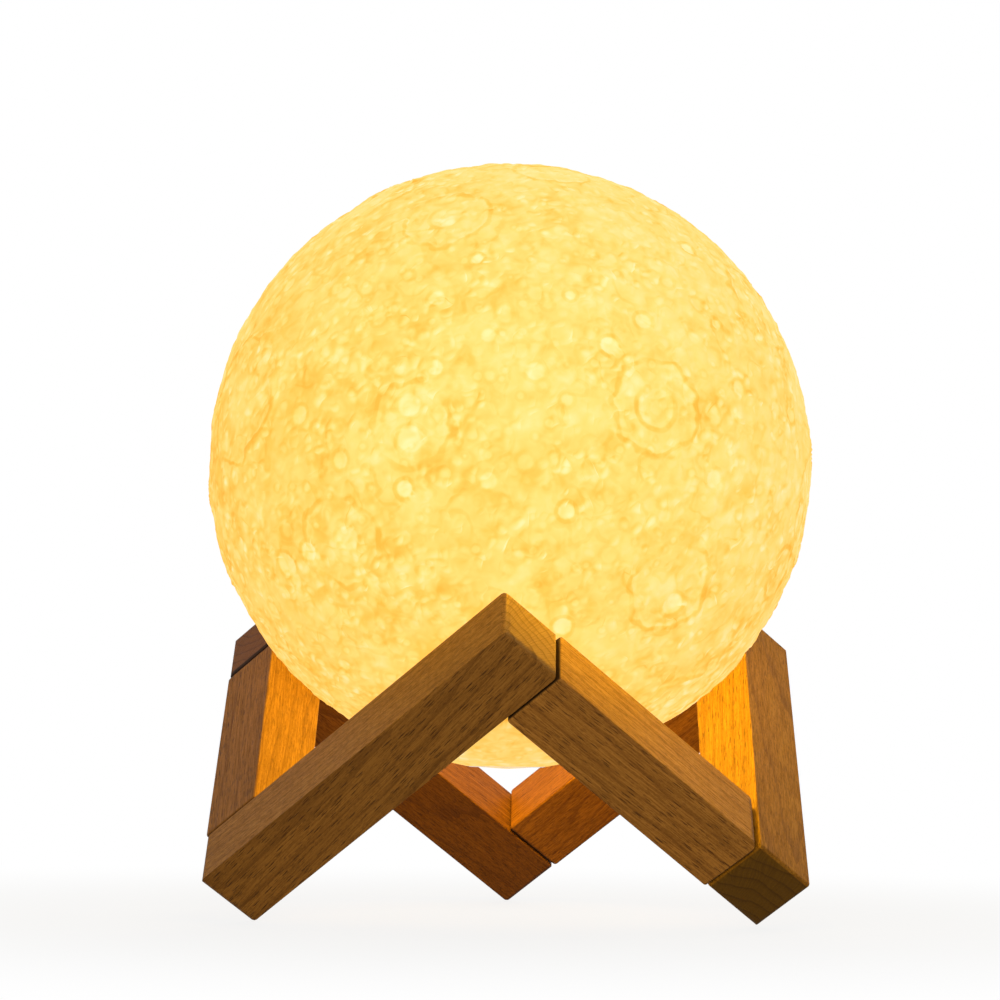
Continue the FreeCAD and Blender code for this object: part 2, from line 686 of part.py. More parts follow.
def make_charging_socket():
    """The metal shell of the charging socket and the contact tongue inside it."""
    body = new_body("socket")
    sketch = new_sketch(body, "XY_Plane", "socket_mouth")
    draw_outline(sketch, socket_outline("0"))
    add_feature(body, "Pad", sketch, by_Length="socket_length")
    sketch = new_sketch(body, "XY_Plane", "board_rise - socket_skin")
    draw_outline(sketch, socket_outline("socket_skin"))
    add_feature(body, "Pocket", sketch, Type="ThroughAll")
    finish(lift(body), "charging_socket")
    tongue = block("tongue", "tongue_width", "tongue_thickness", "tongue_length",
                   z="board_rise - socket_skin - tongue_length")
    finish(lift(group("tongue_set", [tongue])), "socket_tongue")


def make_button():
    """The power button with its flange, the switch above it and the plunger between them."""
    body = turned("button", [
        ("0", "button_rise"),
        ("button_diameter / 2 - button_bevel", "button_rise"),
        ("button_diameter / 2", "button_rise + button_bevel"),
        ("button_diameter / 2", "button_shelf"),
        ("button_flange_diameter / 2", "button_shelf"),
        ("button_flange_diameter / 2", "plunger_rise"),
        ("0", "plunger_rise"),
    ])
    finish(place(body, "0", "button_offset", "moon_rise"), "power_button")
    plunger = block("plunger", "plunger_width", "plunger_width", "plunger_length", "0",
                    "button_offset", "plunger_rise")
    finish(lift(group("plunger_set", [plunger])), "switch_plunger")

    switch = block("switch", "switch_width", "switch_width", "switch_height", "0", "button_offset",
                   "board_rise - switch_height")
    well_top = "plunger_rise + plunger_length + button_travel + button_play"
    well_width = "plunger_width + 2 * button_play"
    well = block("switch_well", well_width, well_width, f"{well_top} - (board_rise - switch_height)",
                 "0", "button_offset", "board_rise - switch_height")
    finish(lift(combined("Cut", "open_switch", switch, well)), "power_switch")


def make_indicator():
    pipe = cylinder("pipe", "pipe_diameter", "board_rise - indicator_height - pipe_rise", "0",
                    "-pipe_offset", "pipe_rise")
    finish(lift(group("pipe_set", [pipe])), "status_light_pipe")


def make_column():
    """The tube that holds the battery, with a flange on the cap and a top plate for the light
    board."""
    body = turned("column", [
        ("column_bore", "cap_plate"),
        ("cap_radius", "cap_plate"),
        ("cap_radius", "collar_rise"),
        ("column_radius", "collar_rise"),
        ("column_radius", "column_end"),
        ("0", "column_end"),
        ("0", "column_end - column_top"),
        ("column_bore", "column_end - column_top"),
    ])
    sketch = new_sketch(body, "XY_Plane", "collar_rise")
    for spot in screw_places():
        draw_circle(sketch, *spot, "screw_hole")
    add_feature(body, "Pocket", sketch, Type="ThroughAll")
    sketch = new_sketch(body, "XY_Plane", "column_end")
    half_slot, slot_width = "(wire_spacing + wire_slot) / 2", "wire_slot / 2"
    draw_outline(sketch, rectangle(f"-{half_slot}", half_slot, f"-wire_offset - {slot_width}",
                                   f"-wire_offset + {slot_width}"))
    for spot in fixing_places():
        draw_circle(sketch, *spot, "fixing_shank_diameter + 2 * close_fit")
    add_feature(body, "Pocket", sketch, by_Length="column_top")
    finish(lift(body), "battery_column")


def board(over_corners, sides, rise, holes=()):
    """A circuit board with as many sides as given, a corner towards the back, and round holes."""
    body = new_body("board")
    sketch = new_sketch(body, "XY_Plane", rise)
    draw_outline(sketch, [polar(over_corners, 90 + 360 * side / sides) for side in range(sides)])
    for x, y, diameter in holes:
        draw_circle(sketch, x, y, diameter)
    add_feature(body, "Pad", sketch, by_Length="board_thickness")
    return body


def make_boards():
    """The control board with its parts, and the light board with its chips."""
    finish(lift(board("2 * (column_bore - board_fit)", CONTROL_BOARD_SIDES, "board_rise")),
           "control_board")
    indicator = block("indicator", "indicator_width", "indicator_width", "indicator_height", "0",
                      "-pipe_offset", "board_rise - indicator_height")
    on_top = [block(name, f"{name}_length", f"{name}_width", f"{name}_height", f"{name}_x",
                    f"{name}_y", "board_top") for name, *_ in BOARD_PARTS]
    finish(lift(group("board_part_set", [indicator] + on_top)), "board_parts")

    over_corners = f"light_board_width / {math.cos(math.pi / LIGHT_BOARD_SIDES):.6f}"
    holes = [(*spot, "fixing_shank_diameter + 2 * screw_clearance") for spot in fixing_places()]
    finish(lift(board(over_corners, LIGHT_BOARD_SIDES, "column_end", holes)), "light_board")
    chips = []
    for number in range(int(size("chip_count"))):
        degrees = 360 * number / size("chip_count")
        chip = doc.addObject("Part::Box", "chip")
        bind(chip, Length="chip_width", Width="chip_width", Height="chip_height")
        centre_x, centre_y = polar("chip_circle_diameter", degrees)
        back_x, back_y = polar("chip_width * sqrt(2)", degrees + 45)
        chips.append(place(chip, f"{centre_x} - ({back_x})", f"{centre_y} - ({back_y})", "chip_rise",
                           FreeCAD.Rotation(Vector(0, 0, 1), degrees)))
    finish(lift(group("chip_set", chips)), "light_chips")


def screw(kind, spot, head_foot, head_height, shank_foot, shank_length):
    """A pan-head screw: a head and its shank, their diameters from the sizes of its kind."""
    head = cylinder("head", f"{kind}_head_diameter", head_height, *spot, head_foot)
    shank = cylinder("shank", f"{kind}_shank_diameter", shank_length, *spot, shank_foot)
    return combined("Fuse", f"{kind}_screw", head, shank)


def make_screws():
    """Three screws through cap and flange into the collar, two that hold the light board."""
    seat = "cap_plate - screw_sink"
    cap_screws = [screw("screw", spot, f"{seat} - screw_head_height", "screw_head_height", seat,
                        "screw_length") for spot in screw_places()]
    finish(lift(group("cap_screw_set", cap_screws)), "cap_screws")
    board_screws = [screw("fixing", spot, "chip_rise", "fixing_head_height", "column_end - column_top",
                          "column_top + board_thickness") for spot in fixing_places()]
    finish(lift(group("board_screw_set", board_screws)), "light_board_screws")


def make_battery():
    """The round cell, the two foam pads that hold it in the column and its contact tabs."""
    radius, shoulder = "battery_diameter / 2", "battery_end - terminal_height"
    body = turned("cell", [
        ("0", "battery_foot"),
        (radius, "battery_foot"),
        (radius, shoulder),
        ("terminal_diameter / 2", shoulder),
        ("terminal_diameter / 2", "battery_end"),
        ("0", "battery_end"),
    ])
    finish(lift(body), "battery_cell")

    pads = []
    for degrees in PAD_TURNS:
        pad = new_body("pad")
        sketch = new_sketch(pad, "XZ_Plane")
        draw_outline(sketch, rectangle("battery_diameter / 2 + pad_gap", "column_bore - pad_gap",
                                       "board_top", "board_top + pad_length"))
        add_feature(pad, "Revolution", sketch, ReferenceAxis=(sketch, ["V_Axis"]), by_Angle="pad_angle",
                    Midplane=True)
        pads.append(place(pad, rotation=FreeCAD.Rotation(Vector(0, 0, 1), degrees)))
    finish(lift(group("pad_set", pads)), "battery_pads")

    riser = block("riser", "tab_width", "tab_thickness", "battery_end + tab_thickness - board_top",
                  y="wire_offset", z="board_top")
    bridge = block("bridge", "tab_width", "wire_offset + tab_overlap", "tab_thickness",
                   y="(wire_offset - tab_overlap) / 2", z="battery_end")
    lower_tab = block("lower_tab", "tab_thickness", "tab_width", "battery_rise", "tab_offset",
                      "-tab_offset", "board_top")
    upper_tab = combined("Fuse", "upper_tab", riser, bridge)
    finish(lift(group("tab_set", [upper_tab, lower_tab])), "battery_tabs")


def make_light_wires():
    """The two wires between the control board and the light board."""
    wires = [block("light_wire", "wire_width", "wire_width", "column_end - board_top", x,
                   "-wire_offset", "board_top") for x in ("-wire_spacing / 2", "wire_spacing / 2")]
    finish(lift(group("light_wire_set", wires)), "light_wires")


# ---- the whole lamp -----------------------------------------------------------------------------

def check_and_write():
    """Recomputes, tests every object and writes one STEP file for each sub-part."""
    doc.recompute()
    for item in doc.Objects:
        if "Invalid" in item.State or "Error" in item.State:
            raise RuntimeError(f"{item.Name} ({item.Label}) failed: {item.State}")
    os.makedirs("parts", exist_ok=True)
    for item in sub_parts:
        shape = item.Shape
        if shape.isNull() or not shape.isValid() or not shape.Solids:
            raise RuntimeError(f"{item.Label} has no valid shape")
        shape.exportStep(f"parts/{item.Label}.step")
        print(f"{item.Label}: {len(shape.Solids)} solids, {shape.Volume / 1000:.3f} cm3")


fill_sheet()
make_stand()
make_globe()
make_collar()
make_base_cap()
make_touch_ring()
make_charging_socket()
make_button()
make_indicator()
make_column()
make_boards()
make_screws()
make_battery()
make_light_wires()
check_and_write()
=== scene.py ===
"""Moon lamp: looks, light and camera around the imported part.

Metres, +Z up, the Z axis through the globe's centre, front towards -Y.
"""

from collections import namedtuple
from itertools import product
import math

import bmesh
import bpy
import numpy as np
from mathutils import Matrix, Vector


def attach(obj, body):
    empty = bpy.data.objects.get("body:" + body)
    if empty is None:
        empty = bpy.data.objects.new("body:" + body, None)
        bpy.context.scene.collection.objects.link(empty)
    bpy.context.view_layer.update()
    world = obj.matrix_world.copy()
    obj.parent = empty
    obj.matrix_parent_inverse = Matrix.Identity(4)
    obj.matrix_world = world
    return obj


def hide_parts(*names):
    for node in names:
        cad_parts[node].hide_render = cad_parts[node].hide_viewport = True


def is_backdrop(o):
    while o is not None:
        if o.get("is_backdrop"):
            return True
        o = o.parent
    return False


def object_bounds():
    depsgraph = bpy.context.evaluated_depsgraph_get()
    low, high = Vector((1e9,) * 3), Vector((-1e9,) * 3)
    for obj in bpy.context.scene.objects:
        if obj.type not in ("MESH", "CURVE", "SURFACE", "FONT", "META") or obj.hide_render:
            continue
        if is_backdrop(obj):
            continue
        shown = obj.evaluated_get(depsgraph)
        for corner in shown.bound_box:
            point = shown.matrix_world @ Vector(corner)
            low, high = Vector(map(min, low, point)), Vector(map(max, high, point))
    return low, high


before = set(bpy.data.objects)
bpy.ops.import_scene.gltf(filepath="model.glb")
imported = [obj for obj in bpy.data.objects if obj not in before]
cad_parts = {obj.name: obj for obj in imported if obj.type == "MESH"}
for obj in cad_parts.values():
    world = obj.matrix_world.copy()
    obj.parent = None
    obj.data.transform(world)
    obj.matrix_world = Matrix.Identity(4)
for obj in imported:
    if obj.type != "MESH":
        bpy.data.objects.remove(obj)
cad_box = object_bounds()
MM = 0.001

# ---- sizes, in millimetres ----------------------------------------------------------------------

# as in the part
BAR = 17.0                       # side of a bar
BAR_BEVEL = 0.5                  # eased edges of a bar
CRADLE_GAP = 0.3                 # clearance between the globe and the bars
PEAK_REACH = 8.7                 # how far a bar's end runs past the spot where the globe bears
FOOT_FLAT = 0.75                 # depth of the flat sanded on each lowest corner
MOON_RADIUS = 75.0
SHADE_WALL = 2.0
OPENING = 20.0                   # radius of the opening at the south pole
LAND_RISE = 7.2                  # flat land round the opening, above the south pole
TO_OUTSIDE = MOON_RADIUS + CRADLE_GAP + BAR    # globe's centre to a bar's outer side
EDGE = TO_OUTSIDE + PEAK_REACH                 # edge of the cube that the stand is cut from
STAND_DROP = (EDGE - BAR) / math.sqrt(3) + FOOT_FLAT    # the cube's lowest corner below the floor
MOON_CENTRE = math.sqrt(3) * TO_OUTSIDE - STAND_DROP    # height of the globe's centre

# of the scene alone
SEAM = 0.4                       # opening of the butt joints, wide enough to show
MOON_TOP_RADIUS = 74.72          # highest ground
GROUND_DEPTH = 1.45              # from there to the lowest ground
CALM_LATITUDE = -73.5            # degrees; the ground is smooth from the south pole to here
CALM_BAND = 5.0                  # degrees in which the relief then grows to its full height
# The smooth ground's glow level also sets the painted glow of the base cap.
CAP_GLOW = 0.66                  # glow of the smooth ground: 0 is deep, 1 is bright
FAR_RIM = 4.0                    # distance from a rim at which it no longer shows
BASIN_RADIUS = 3.0               # craters wider than this, in degrees, are basins
RING_PITCH = 2.9                 # width of the wood's growth rings
FLOOR_REACH = 6000.0             # from the middle of the floor to its edges
FLOOR_DROP = 0.1                 # floor below the feet, to keep the two surfaces apart

# The globe's mesh: cells along an edge of the cube that it is blown up from, cells across the
# opening, and how many times coarser its inside is.
GLOBE_CELLS = 120
OPENING_CELLS = 32
COARSER = 4

# The cube's edge directions from its lowest corner: front right, front left, back.
EDGE_U = Vector((math.sqrt(1 / 2), -math.sqrt(1 / 6), math.sqrt(1 / 3)))
EDGE_V = Vector((-math.sqrt(1 / 2), -math.sqrt(1 / 6), math.sqrt(1 / 3)))
EDGE_W = Vector((0, math.sqrt(2 / 3), math.sqrt(1 / 3)))
PLAIN_AXES = (Vector((1, 0, 0)), Vector((0, 1, 0)), Vector((0, 0, 1)))


# ---- node trees ---------------------------------------------------------------------------------

class Wiring:
    """Short ways to add nodes to a tree and to wire them."""

    def __init__(self, tree):
        self.nodes = tree.nodes
        self.links = tree.links

    def add(self, kind, inputs=None, **properties):
        """A node whose inputs are wired, where the value is a socket, or else set."""
        node = self.nodes.new(kind)
        for name, value in properties.items():
            setattr(node, name, value)
        for name, value in (inputs or {}).items():
            if hasattr(value, "is_linked"):
                self.links.new(value, node.inputs[name])
            else:
                node.inputs[name].default_value = value
        return node

    def math(self, operation, a, b=0.0):
        return self.add("ShaderNodeMath", {0: a, 1: b}, operation=operation).outputs[0]

    def plus(self, a, b):
        return self.math("ADD", a, b)

    def minus(self, a, b):
        return self.math("SUBTRACT", a, b)

    def times(self, a, b):
        return self.math("MULTIPLY", a, b)

    def total(self, first, *others):
        """The first value plus each (value, weight)."""
        for value, weight in others:
            first = self.plus(first, self.times(value, weight))
        return first

    def dot(self, a, b):
        node = self.add("ShaderNodeVectorMath", {0: a, 1: tuple(b)}, operation="DOT_PRODUCT")
        return node.outputs["Value"]

    def step(self, value, low, high, from_value=0.0, to_value=1.0):
        """A smooth step of the value from low to high."""
        node = self.add("ShaderNodeMapRange", {"Value": value, "From Min": low, "From Max": high,
                                               "To Min": from_value, "To Max": to_value},
                        interpolation_type="SMOOTHSTEP")
        return node.outputs["Result"]

    def blend(self, share, shader_a, shader_b):
        return self.add("ShaderNodeMixShader", {0: share, 1: shader_a, 2: shader_b}).outputs[0]


class Shader(Wiring):
    """A material with a Principled surface."""

    def __init__(self, name, color=(0.5, 0.5, 0.5), roughness=0.5, **sockets):
        self.material = bpy.data.materials.new(name)
        self.material.use_nodes = True
        super().__init__(self.material.node_tree)
        self.surface = self.nodes["Principled BSDF"]
        self.surface.inputs["Base Color"].default_value = (*color, 1)
        self.surface.inputs["Roughness"].default_value = roughness
        for socket, value in sockets.items():
            self.surface.inputs[socket.replace("_", " ")].default_value = value
        self.place = self.add("ShaderNodeTexCoord").outputs["Object"]

    def noise(self, place, scale, detail=2.0, roughness=0.5, distortion=0.0):
        node = self.add("ShaderNodeTexNoise", {"Vector": place, "Scale": scale, "Detail": detail,
                                               "Roughness": roughness, "Distortion": distortion})
        return node.outputs["Fac"]

    def cells(self, place, scale=1.0):
        """The distance from the nearest of many scattered spots, and two chances of its own."""
        found = self.add("ShaderNodeTexVoronoi", {"Vector": place, "Scale": scale}, feature="F1").outputs
        chances = self.add("ShaderNodeSeparateXYZ", {0: found["Color"]}).outputs
        return found["Distance"], chances[0], chances[1]

    def ramp(self, value, stops):
        """A colour ramp; each stop is (position, colour)."""
        node = self.add("ShaderNodeValToRGB", {"Fac": value})
        elements = node.color_ramp.elements
        while len(elements) < len(stops):
            elements.new(0.5)
        for element, (position, color) in zip(elements, stops):
            element.position = position
            element.color = (*color, 1)
        return node.outputs["Color"]

    def mix(self, share, under, over):
        """One colour with a share of another over it; each is a socket or a colour."""
        under, over = (color if hasattr(color, "is_linked") else (*color, 1) for color in (under, over))
        return self.add("ShaderNodeMix", {0: share, 6: under, 7: over}, data_type="RGBA").outputs[2]

    def layers(self, color, rows):
        """The colour under layers of (share, colour)."""
        for share, layer in rows:
            color = self.mix(share, color, layer)
        return color

    def stretched(self, axes, scale):
        """The object coordinates in metres along the axes, each times its scale."""
        parts = [self.dot(self.place, axis * factor) for axis, factor in zip(axes, scale)]
        return self.add("ShaderNodeCombineXYZ", dict(enumerate(parts))).outputs[0]

    def set(self, **wires):
        for socket, value in wires.items():
            self.links.new(value, self.surface.inputs[socket.replace("_", " ")])

    def bump(self, height, strength, distance):
        node = self.add("ShaderNodeBump", {"Height": height, "Strength": strength, "Distance": distance})
        self.set(Normal=node.outputs["Normal"])


def linked(name, data):
    """An object of the data, in the scene."""
    piece = bpy.data.objects.new(name, data)
    bpy.context.collection.objects.link(piece)
    return piece


# ---- wood ---------------------------------------------------------------------------------------

# How one bar's wood looks. pith is the ring centre's place in millimetres, crosswise from the
# bar's middle; then the wood's red, green and blue against the others', and how light its sawn ends
# are, both the wood's own tone with the painted shade and painted warm light that fall on that bar;
# phase shifts the growth rings; slope is how far the grain runs askew in degrees; flecked is the
# side where the rays show most, 1 for the first and 2 for the second.
Grain = namedtuple("Grain", "pith tone end_tone phase slope flecked", defaults=(2,))


class Beech(Shader):
    """Steamed beech: growth rings about a pith line beside the bar, short dark rays, fine fibres.

    along is the bar's direction, across the normal of its first side and centre its middle.
    The last argument lists where painted shade darkens the wood by a joint: beyond a distance from a
    middle along an axis, for every (axis, middle, distance)."""

    def __init__(self, name, along, across, centre, grain, shaded_joints):
        super().__init__(name, roughness=0.6, Specular_IOR_Level=0.12)
        up = along.cross(across)
        pith = [centre.dot(axis) + offset * MM for axis, offset in zip((across, up), grain.pith)]
        flecked = up if grain.flecked == 2 else across
        skew = Matrix.Rotation(math.radians(grain.slope), 3, flecked)
        self.axes = [skew @ axis for axis in (along, across, up)]
        self.grain = grain
        normal = self.add("ShaderNodeNewGeometry").outputs["Normal"]
        end = self.facing(normal, self.axes[0])
        open_side = self.facing(normal, skew @ flecked)

        self.late, self.line, reach, turn = self.growth_rings(pith)
        self.fibre = self.streaks(110, 3600, 3.0, 0.65)
        self.speck = self.streaks(1500, 5200, 2.0, 0.6)
        plane = (200, 2500, 1150) if grain.flecked == 2 else (200, 1150, 2500)
        rays = self.times(self.needles(plane, 0.22, 0.33, 0.72), self.total(0.35, (open_side, 0.65)))
        dashes = self.needles((480, 4400, 4400), 0.20, 0.38, 0.75)

        color = self.side_color(rays, dashes, self.minus(1.0, end))
        color = self.mix(self.times(end, 0.94), color, self.end_color(reach, turn))
        # Painted shade: the wood turns near black by each joint, as if the gap lay in deep shade.
        if shaded_joints:
            color = self.mix(self.painted_joint_shade(shaded_joints), color, (0.010, 0.004, 0.001))
        self.set(Base_Color=color, Roughness=self.step(self.fibre, 0.3, 0.75, 0.54, 0.70))
        hollows = self.total(self.times(rays, 0.6), (dashes, 0.3))
        self.bump(self.minus(self.times(self.fibre, 0.4), hollows), 0.35, 0.00014)

    def facing(self, normal, axis):
        """1 where the surface faces along the axis, either way."""
        return self.step(self.math("ABSOLUTE", self.dot(normal, axis)), 0.55, 0.85)

    def streaks(self, along, crosswise, detail=2.0, roughness=0.5):
        """Noise with these numbers of waves in a metre along the grain and crosswise."""
        return self.noise(self.stretched(self.axes, (along, crosswise, crosswise)), 1.0, detail, roughness)

    def needles(self, size, low, high, share):
        """Spindles along the grain, only a share of them, each as dark as chance has it."""
        distance, chance, _ = self.cells(self.stretched(self.axes, size))
        return self.times(self.step(distance, low, high, 1.0, 0.0),
                          self.step(chance, 1 - share, 1.25 - share))

    def growth_rings(self, pith):
        """The late wood, the dark lines that end it, and the distance and turn about the pith. A
        slow drift of up to 4 mm bends the rings along the bar."""
        drift = self.times(self.minus(self.streaks(9, 46, 3.0, 0.55), 0.5), 0.008)
        x, y = (self.plus(self.minus(self.dot(self.place, axis), middle), drift)
                for axis, middle in zip(self.axes[1:], pith))
        reach = self.math("SQRT", self.plus(self.times(x, x), self.times(y, y)))
        uneven = self.times(self.streaks(6, 150), 0.9)
        rings = self.plus(self.times(reach, 1 / (RING_PITCH * MM)), self.plus(uneven, self.grain.phase))
        rings = self.math("FRACT", rings)
        begun = self.minus(1.0, self.step(rings, 0.0, 0.07, 1.0, 0.0))
        late = self.times(self.step(rings, 0.50, 0.96), begun)
        line = self.times(self.step(rings, 0.80, 0.97), begun)
        return late, line, reach, self.math("ARCTAN2", y, x)

    def shade(self, red, green, blue, level=1.0):
        return tuple(part * tone * level for part, tone in zip((red, green, blue), self.grain.tone))

    def side_color(self, rays, dashes, side):
        """The wood along the grain; side is 1 on the long sides and 0 on the sawn ends."""
        shade = self.shade
        broad = self.streaks(26, 760, 3.0, 0.6)
        cloud = self.streaks(14, 60)
        early_wood = self.mix(self.times(self.late, 0.45), shade(0.370, 0.168, 0.038),
                              shade(0.245, 0.104, 0.020))
        return self.layers(early_wood, [
            (self.step(broad, 0.34, 0.70, 0.0, 0.55), shade(0.200, 0.084, 0.016)),
            (self.step(cloud, 0.35, 0.72, 0.0, 0.40), shade(0.440, 0.212, 0.052)),
            (self.step(self.fibre, 0.38, 0.62, 0.0, 0.62), shade(0.125, 0.050, 0.009)),
            (self.step(self.speck, 0.40, 0.72, 0.0, 0.30), shade(0.480, 0.225, 0.066)),
            (self.times(self.line, 0.34), shade(0.110, 0.040, 0.008)),
            (self.times(self.times(dashes, side), 0.62), shade(0.090, 0.032, 0.007)),
            (self.times(self.times(rays, side), 0.82), shade(0.040, 0.014, 0.003)),
        ])

    def end_color(self, reach, turn):
        """The sawn ends: spokes about the pith, pores and growth rings."""
        def shade(*color):
            return self.shade(*color, level=self.grain.end_tone)

        spread = self.add("ShaderNodeCombineXYZ", {0: self.times(turn, 130.0),
                                                   1: self.times(reach, 30.0)}).outputs[0]
        spokes = self.step(self.noise(spread, 1.0, 2.0), 0.36, 0.66)
        return self.layers(self.mix(spokes, shade(0.470, 0.245, 0.078), shade(0.335, 0.165, 0.047)), [
            (self.step(self.speck, 0.36, 0.66, 0.0, 0.30), shade(0.180, 0.076, 0.014)),
            (self.times(self.late, 0.30), shade(0.170, 0.070, 0.013)),
            (self.times(self.line, 0.40), shade(0.110, 0.042, 0.008)),
        ])

    def painted_joint_shade(self, shaded_joints):
        """How strong the painted shade by the joints is; it sets in over half a millimetre."""
        dark = 0.95
        for axis, middle, distance in shaded_joints:
            from_middle = self.math("ABSOLUTE", self.minus(self.dot(self.place, axis), middle))
            dark = self.times(dark, self.step(from_middle, distance - 0.5 * MM, distance))
        return dark


# ---- stand --------------------------------------------------------------------------------------

def cube_to_frame(degrees):
    """From the cube's u, v and w, in millimetres, to the shared frame, in metres."""
    turn = Matrix.Rotation(math.radians(degrees), 4, "Z")
    tilt = Matrix((EDGE_U, EDGE_V, EDGE_W)).transposed().to_4x4()
    return turn @ Matrix.Translation((0, 0, -STAND_DROP * MM)) @ tilt @ Matrix.Scale(MM, 4)


def round_off(mesh, edges, size, segments):
    bmesh.ops.bevel(mesh, geom=edges, offset=size, segments=segments, profile=0.5, affect="EDGES")


def bar_block(low, high, end_round, worn_edge):
    """A block in cube coordinates, in millimetres, with rounded ends. worn_edge is the middle of
    one end edge that is worn rounder still, and its size."""
    mesh = bmesh.new()
    bmesh.ops.create_cube(mesh, size=1)
    middle, span = (Vector(low) + Vector(high)) / 2, Vector(high) - Vector(low)
    for vertex in mesh.verts:
        vertex.co = middle + Vector(a * b for a, b in zip(vertex.co, span))
    if worn_edge:
        spot, size = worn_edge
        worn = [edge for edge in mesh.edges
                if (sum((vertex.co for vertex in edge.verts), Vector()) / 2 - Vector(spot)).length < 1]
        round_off(mesh, worn, size, 6)
    along = max(range(3), key=lambda axis: span[axis])
    for limit in (low[along], high[along]):
        rim = [edge for edge in mesh.edges
               if all(abs(vertex.co[along] - limit) < 0.01 for vertex in edge.verts)
               and edge.calc_face_angle(0) > math.radians(60)]
        round_off(mesh, rim, end_round, 4)
    return mesh


def sand_flat(mesh):
    """Cuts off what lies below the floor and closes the cut."""
    if min(vertex.co.z for vertex in mesh.verts) < 0:
        cut = bmesh.ops.bisect_plane(mesh, geom=mesh.verts[:] + mesh.edges[:] + mesh.faces[:],
                                     plane_co=(0, 0, 0), plane_no=(0, 0, -1), clear_outer=True)
        rim = [item for item in cut["geom_cut"] if isinstance(item, bmesh.types.BMEdge)]
        bmesh.ops.contextual_create(mesh, geom=rim)


def bar(name, mesh, material):
    """One bar of the stand, its long edges eased."""
    data = bpy.data.meshes.new(name)
    bmesh.ops.recalc_face_normals(mesh, faces=mesh.faces)
    mesh.to_mesh(data)
    mesh.free()
    data.materials.append(material)
    for face in data.polygons:
        face.use_smooth = True
    piece = linked(name, data)
    ease = piece.modifiers.new("ease", "BEVEL")
    ease.width = BAR_BEVEL * MM
    ease.segments = 3
    ease.limit_method = "ANGLE"
    ease.angle_limit = math.radians(50)
    ease.harden_normals = False
    weigh = piece.modifiers.new("normals", "WEIGHTED_NORMAL")
    weigh.keep_sharp = False
    return piece


# One bar: turn about the vertical axis in degrees, opposite corners in cube coordinates, grain,
# roundness of its ends, width of the painted shade by its joints, and the end edge that is worn
# rounder still as (middle, size).
BarPlan = namedtuple("BarPlan", "name turn corners grain end_round seam_width worn_edge",
                     defaults=(None,))


def bar_plans():
    far, near = EDGE, EDGE - BAR
    long_bar = ((0, near, 0), (far, far, BAR))
    short_bar = ((near, BAR + SEAM, 0), (far, far - BAR - SEAM, BAR))
    worn_right, worn_front = (far, far, BAR / 2), (far, BAR + SEAM, BAR / 2)
    # The tints hold painted light and shade: the back bars darker and redder, the right bar warmer with a
    # dark sawn end, the front right bar and the front left bar's sawn end lighter.
    return [
        BarPlan("front_left_bar", 0, long_bar,
                Grain((9, 31), (0.86, 0.86, 0.80), 0.94, 0.1, 6), 1.6, 0),
        BarPlan("back_left_bar", -120, long_bar,
                Grain((22, -9), (0.41, 0.29, 0.19), 0.80, 0.5, -4), 1.3, 1.0),
        BarPlan("right_bar", -240, long_bar,
                Grain((-34, 12), (0.92, 0.88, 0.34), 0.28, 0.3, 3), 1.8, 0, (worn_right, 2.6)),
        BarPlan("front_right_bar", 0, short_bar,
                Grain((25, 22), (1.14, 1.14, 1.10), 0.66, 0.7, -2), 0.9, 0.1, (worn_front, 2.8)),
        BarPlan("left_bar", -120, short_bar,
                Grain((-19, -14), (0.72, 0.65, 0.48), 0.66, 0.2, 2, flecked=1), 0.9, 0.1),
        BarPlan("back_right_bar", -240, short_bar,
                Grain((14, 24), (0.70, 0.50, 0.31), 0.75, 0.9, 3), 0.9, 0.1),
    ]


def make_stand():
    bars = []
    for plan in bar_plans():
        low, high = plan.corners
        to_frame = cube_to_frame(plan.turn)
        u, v, _ = (to_frame.to_3x3().col[axis].normalized() for axis in range(3))
        foot, top = to_frame @ Vector(low), to_frame @ Vector(high)
        centre = to_frame @ ((Vector(low) + Vector(high)) / 2)
        is_long = low[0] == 0
        along, across = (u, v) if is_long else (v, u)
        # Where painted shade darkens the wood by the joints.
        shaded_joints = []
        if not is_long:
            shaded_joints = [(along, centre.dot(along), (EDGE / 2 - BAR - SEAM - plan.seam_width) * MM)]
        elif plan.seam_width:
            shaded_joints = [(along, foot.dot(along), (EDGE - BAR) * MM),
                     (across, top.dot(across), (BAR - plan.seam_width) * MM)]
        beech = Beech(plan.name + "_beech", along, across, centre, plan.grain, shaded_joints).material
        mesh = bar_block(low, high, plan.end_round, plan.worn_edge)
        mesh.transform(to_frame)
        sand_flat(mesh)
        piece = bar(plan.name + "_wood", mesh, beech)
        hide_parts(plan.name)
        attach(piece, "stand")
        bars.append(piece)
    return bars


# ---- the globe's ground -------------------------------------------------------------------------

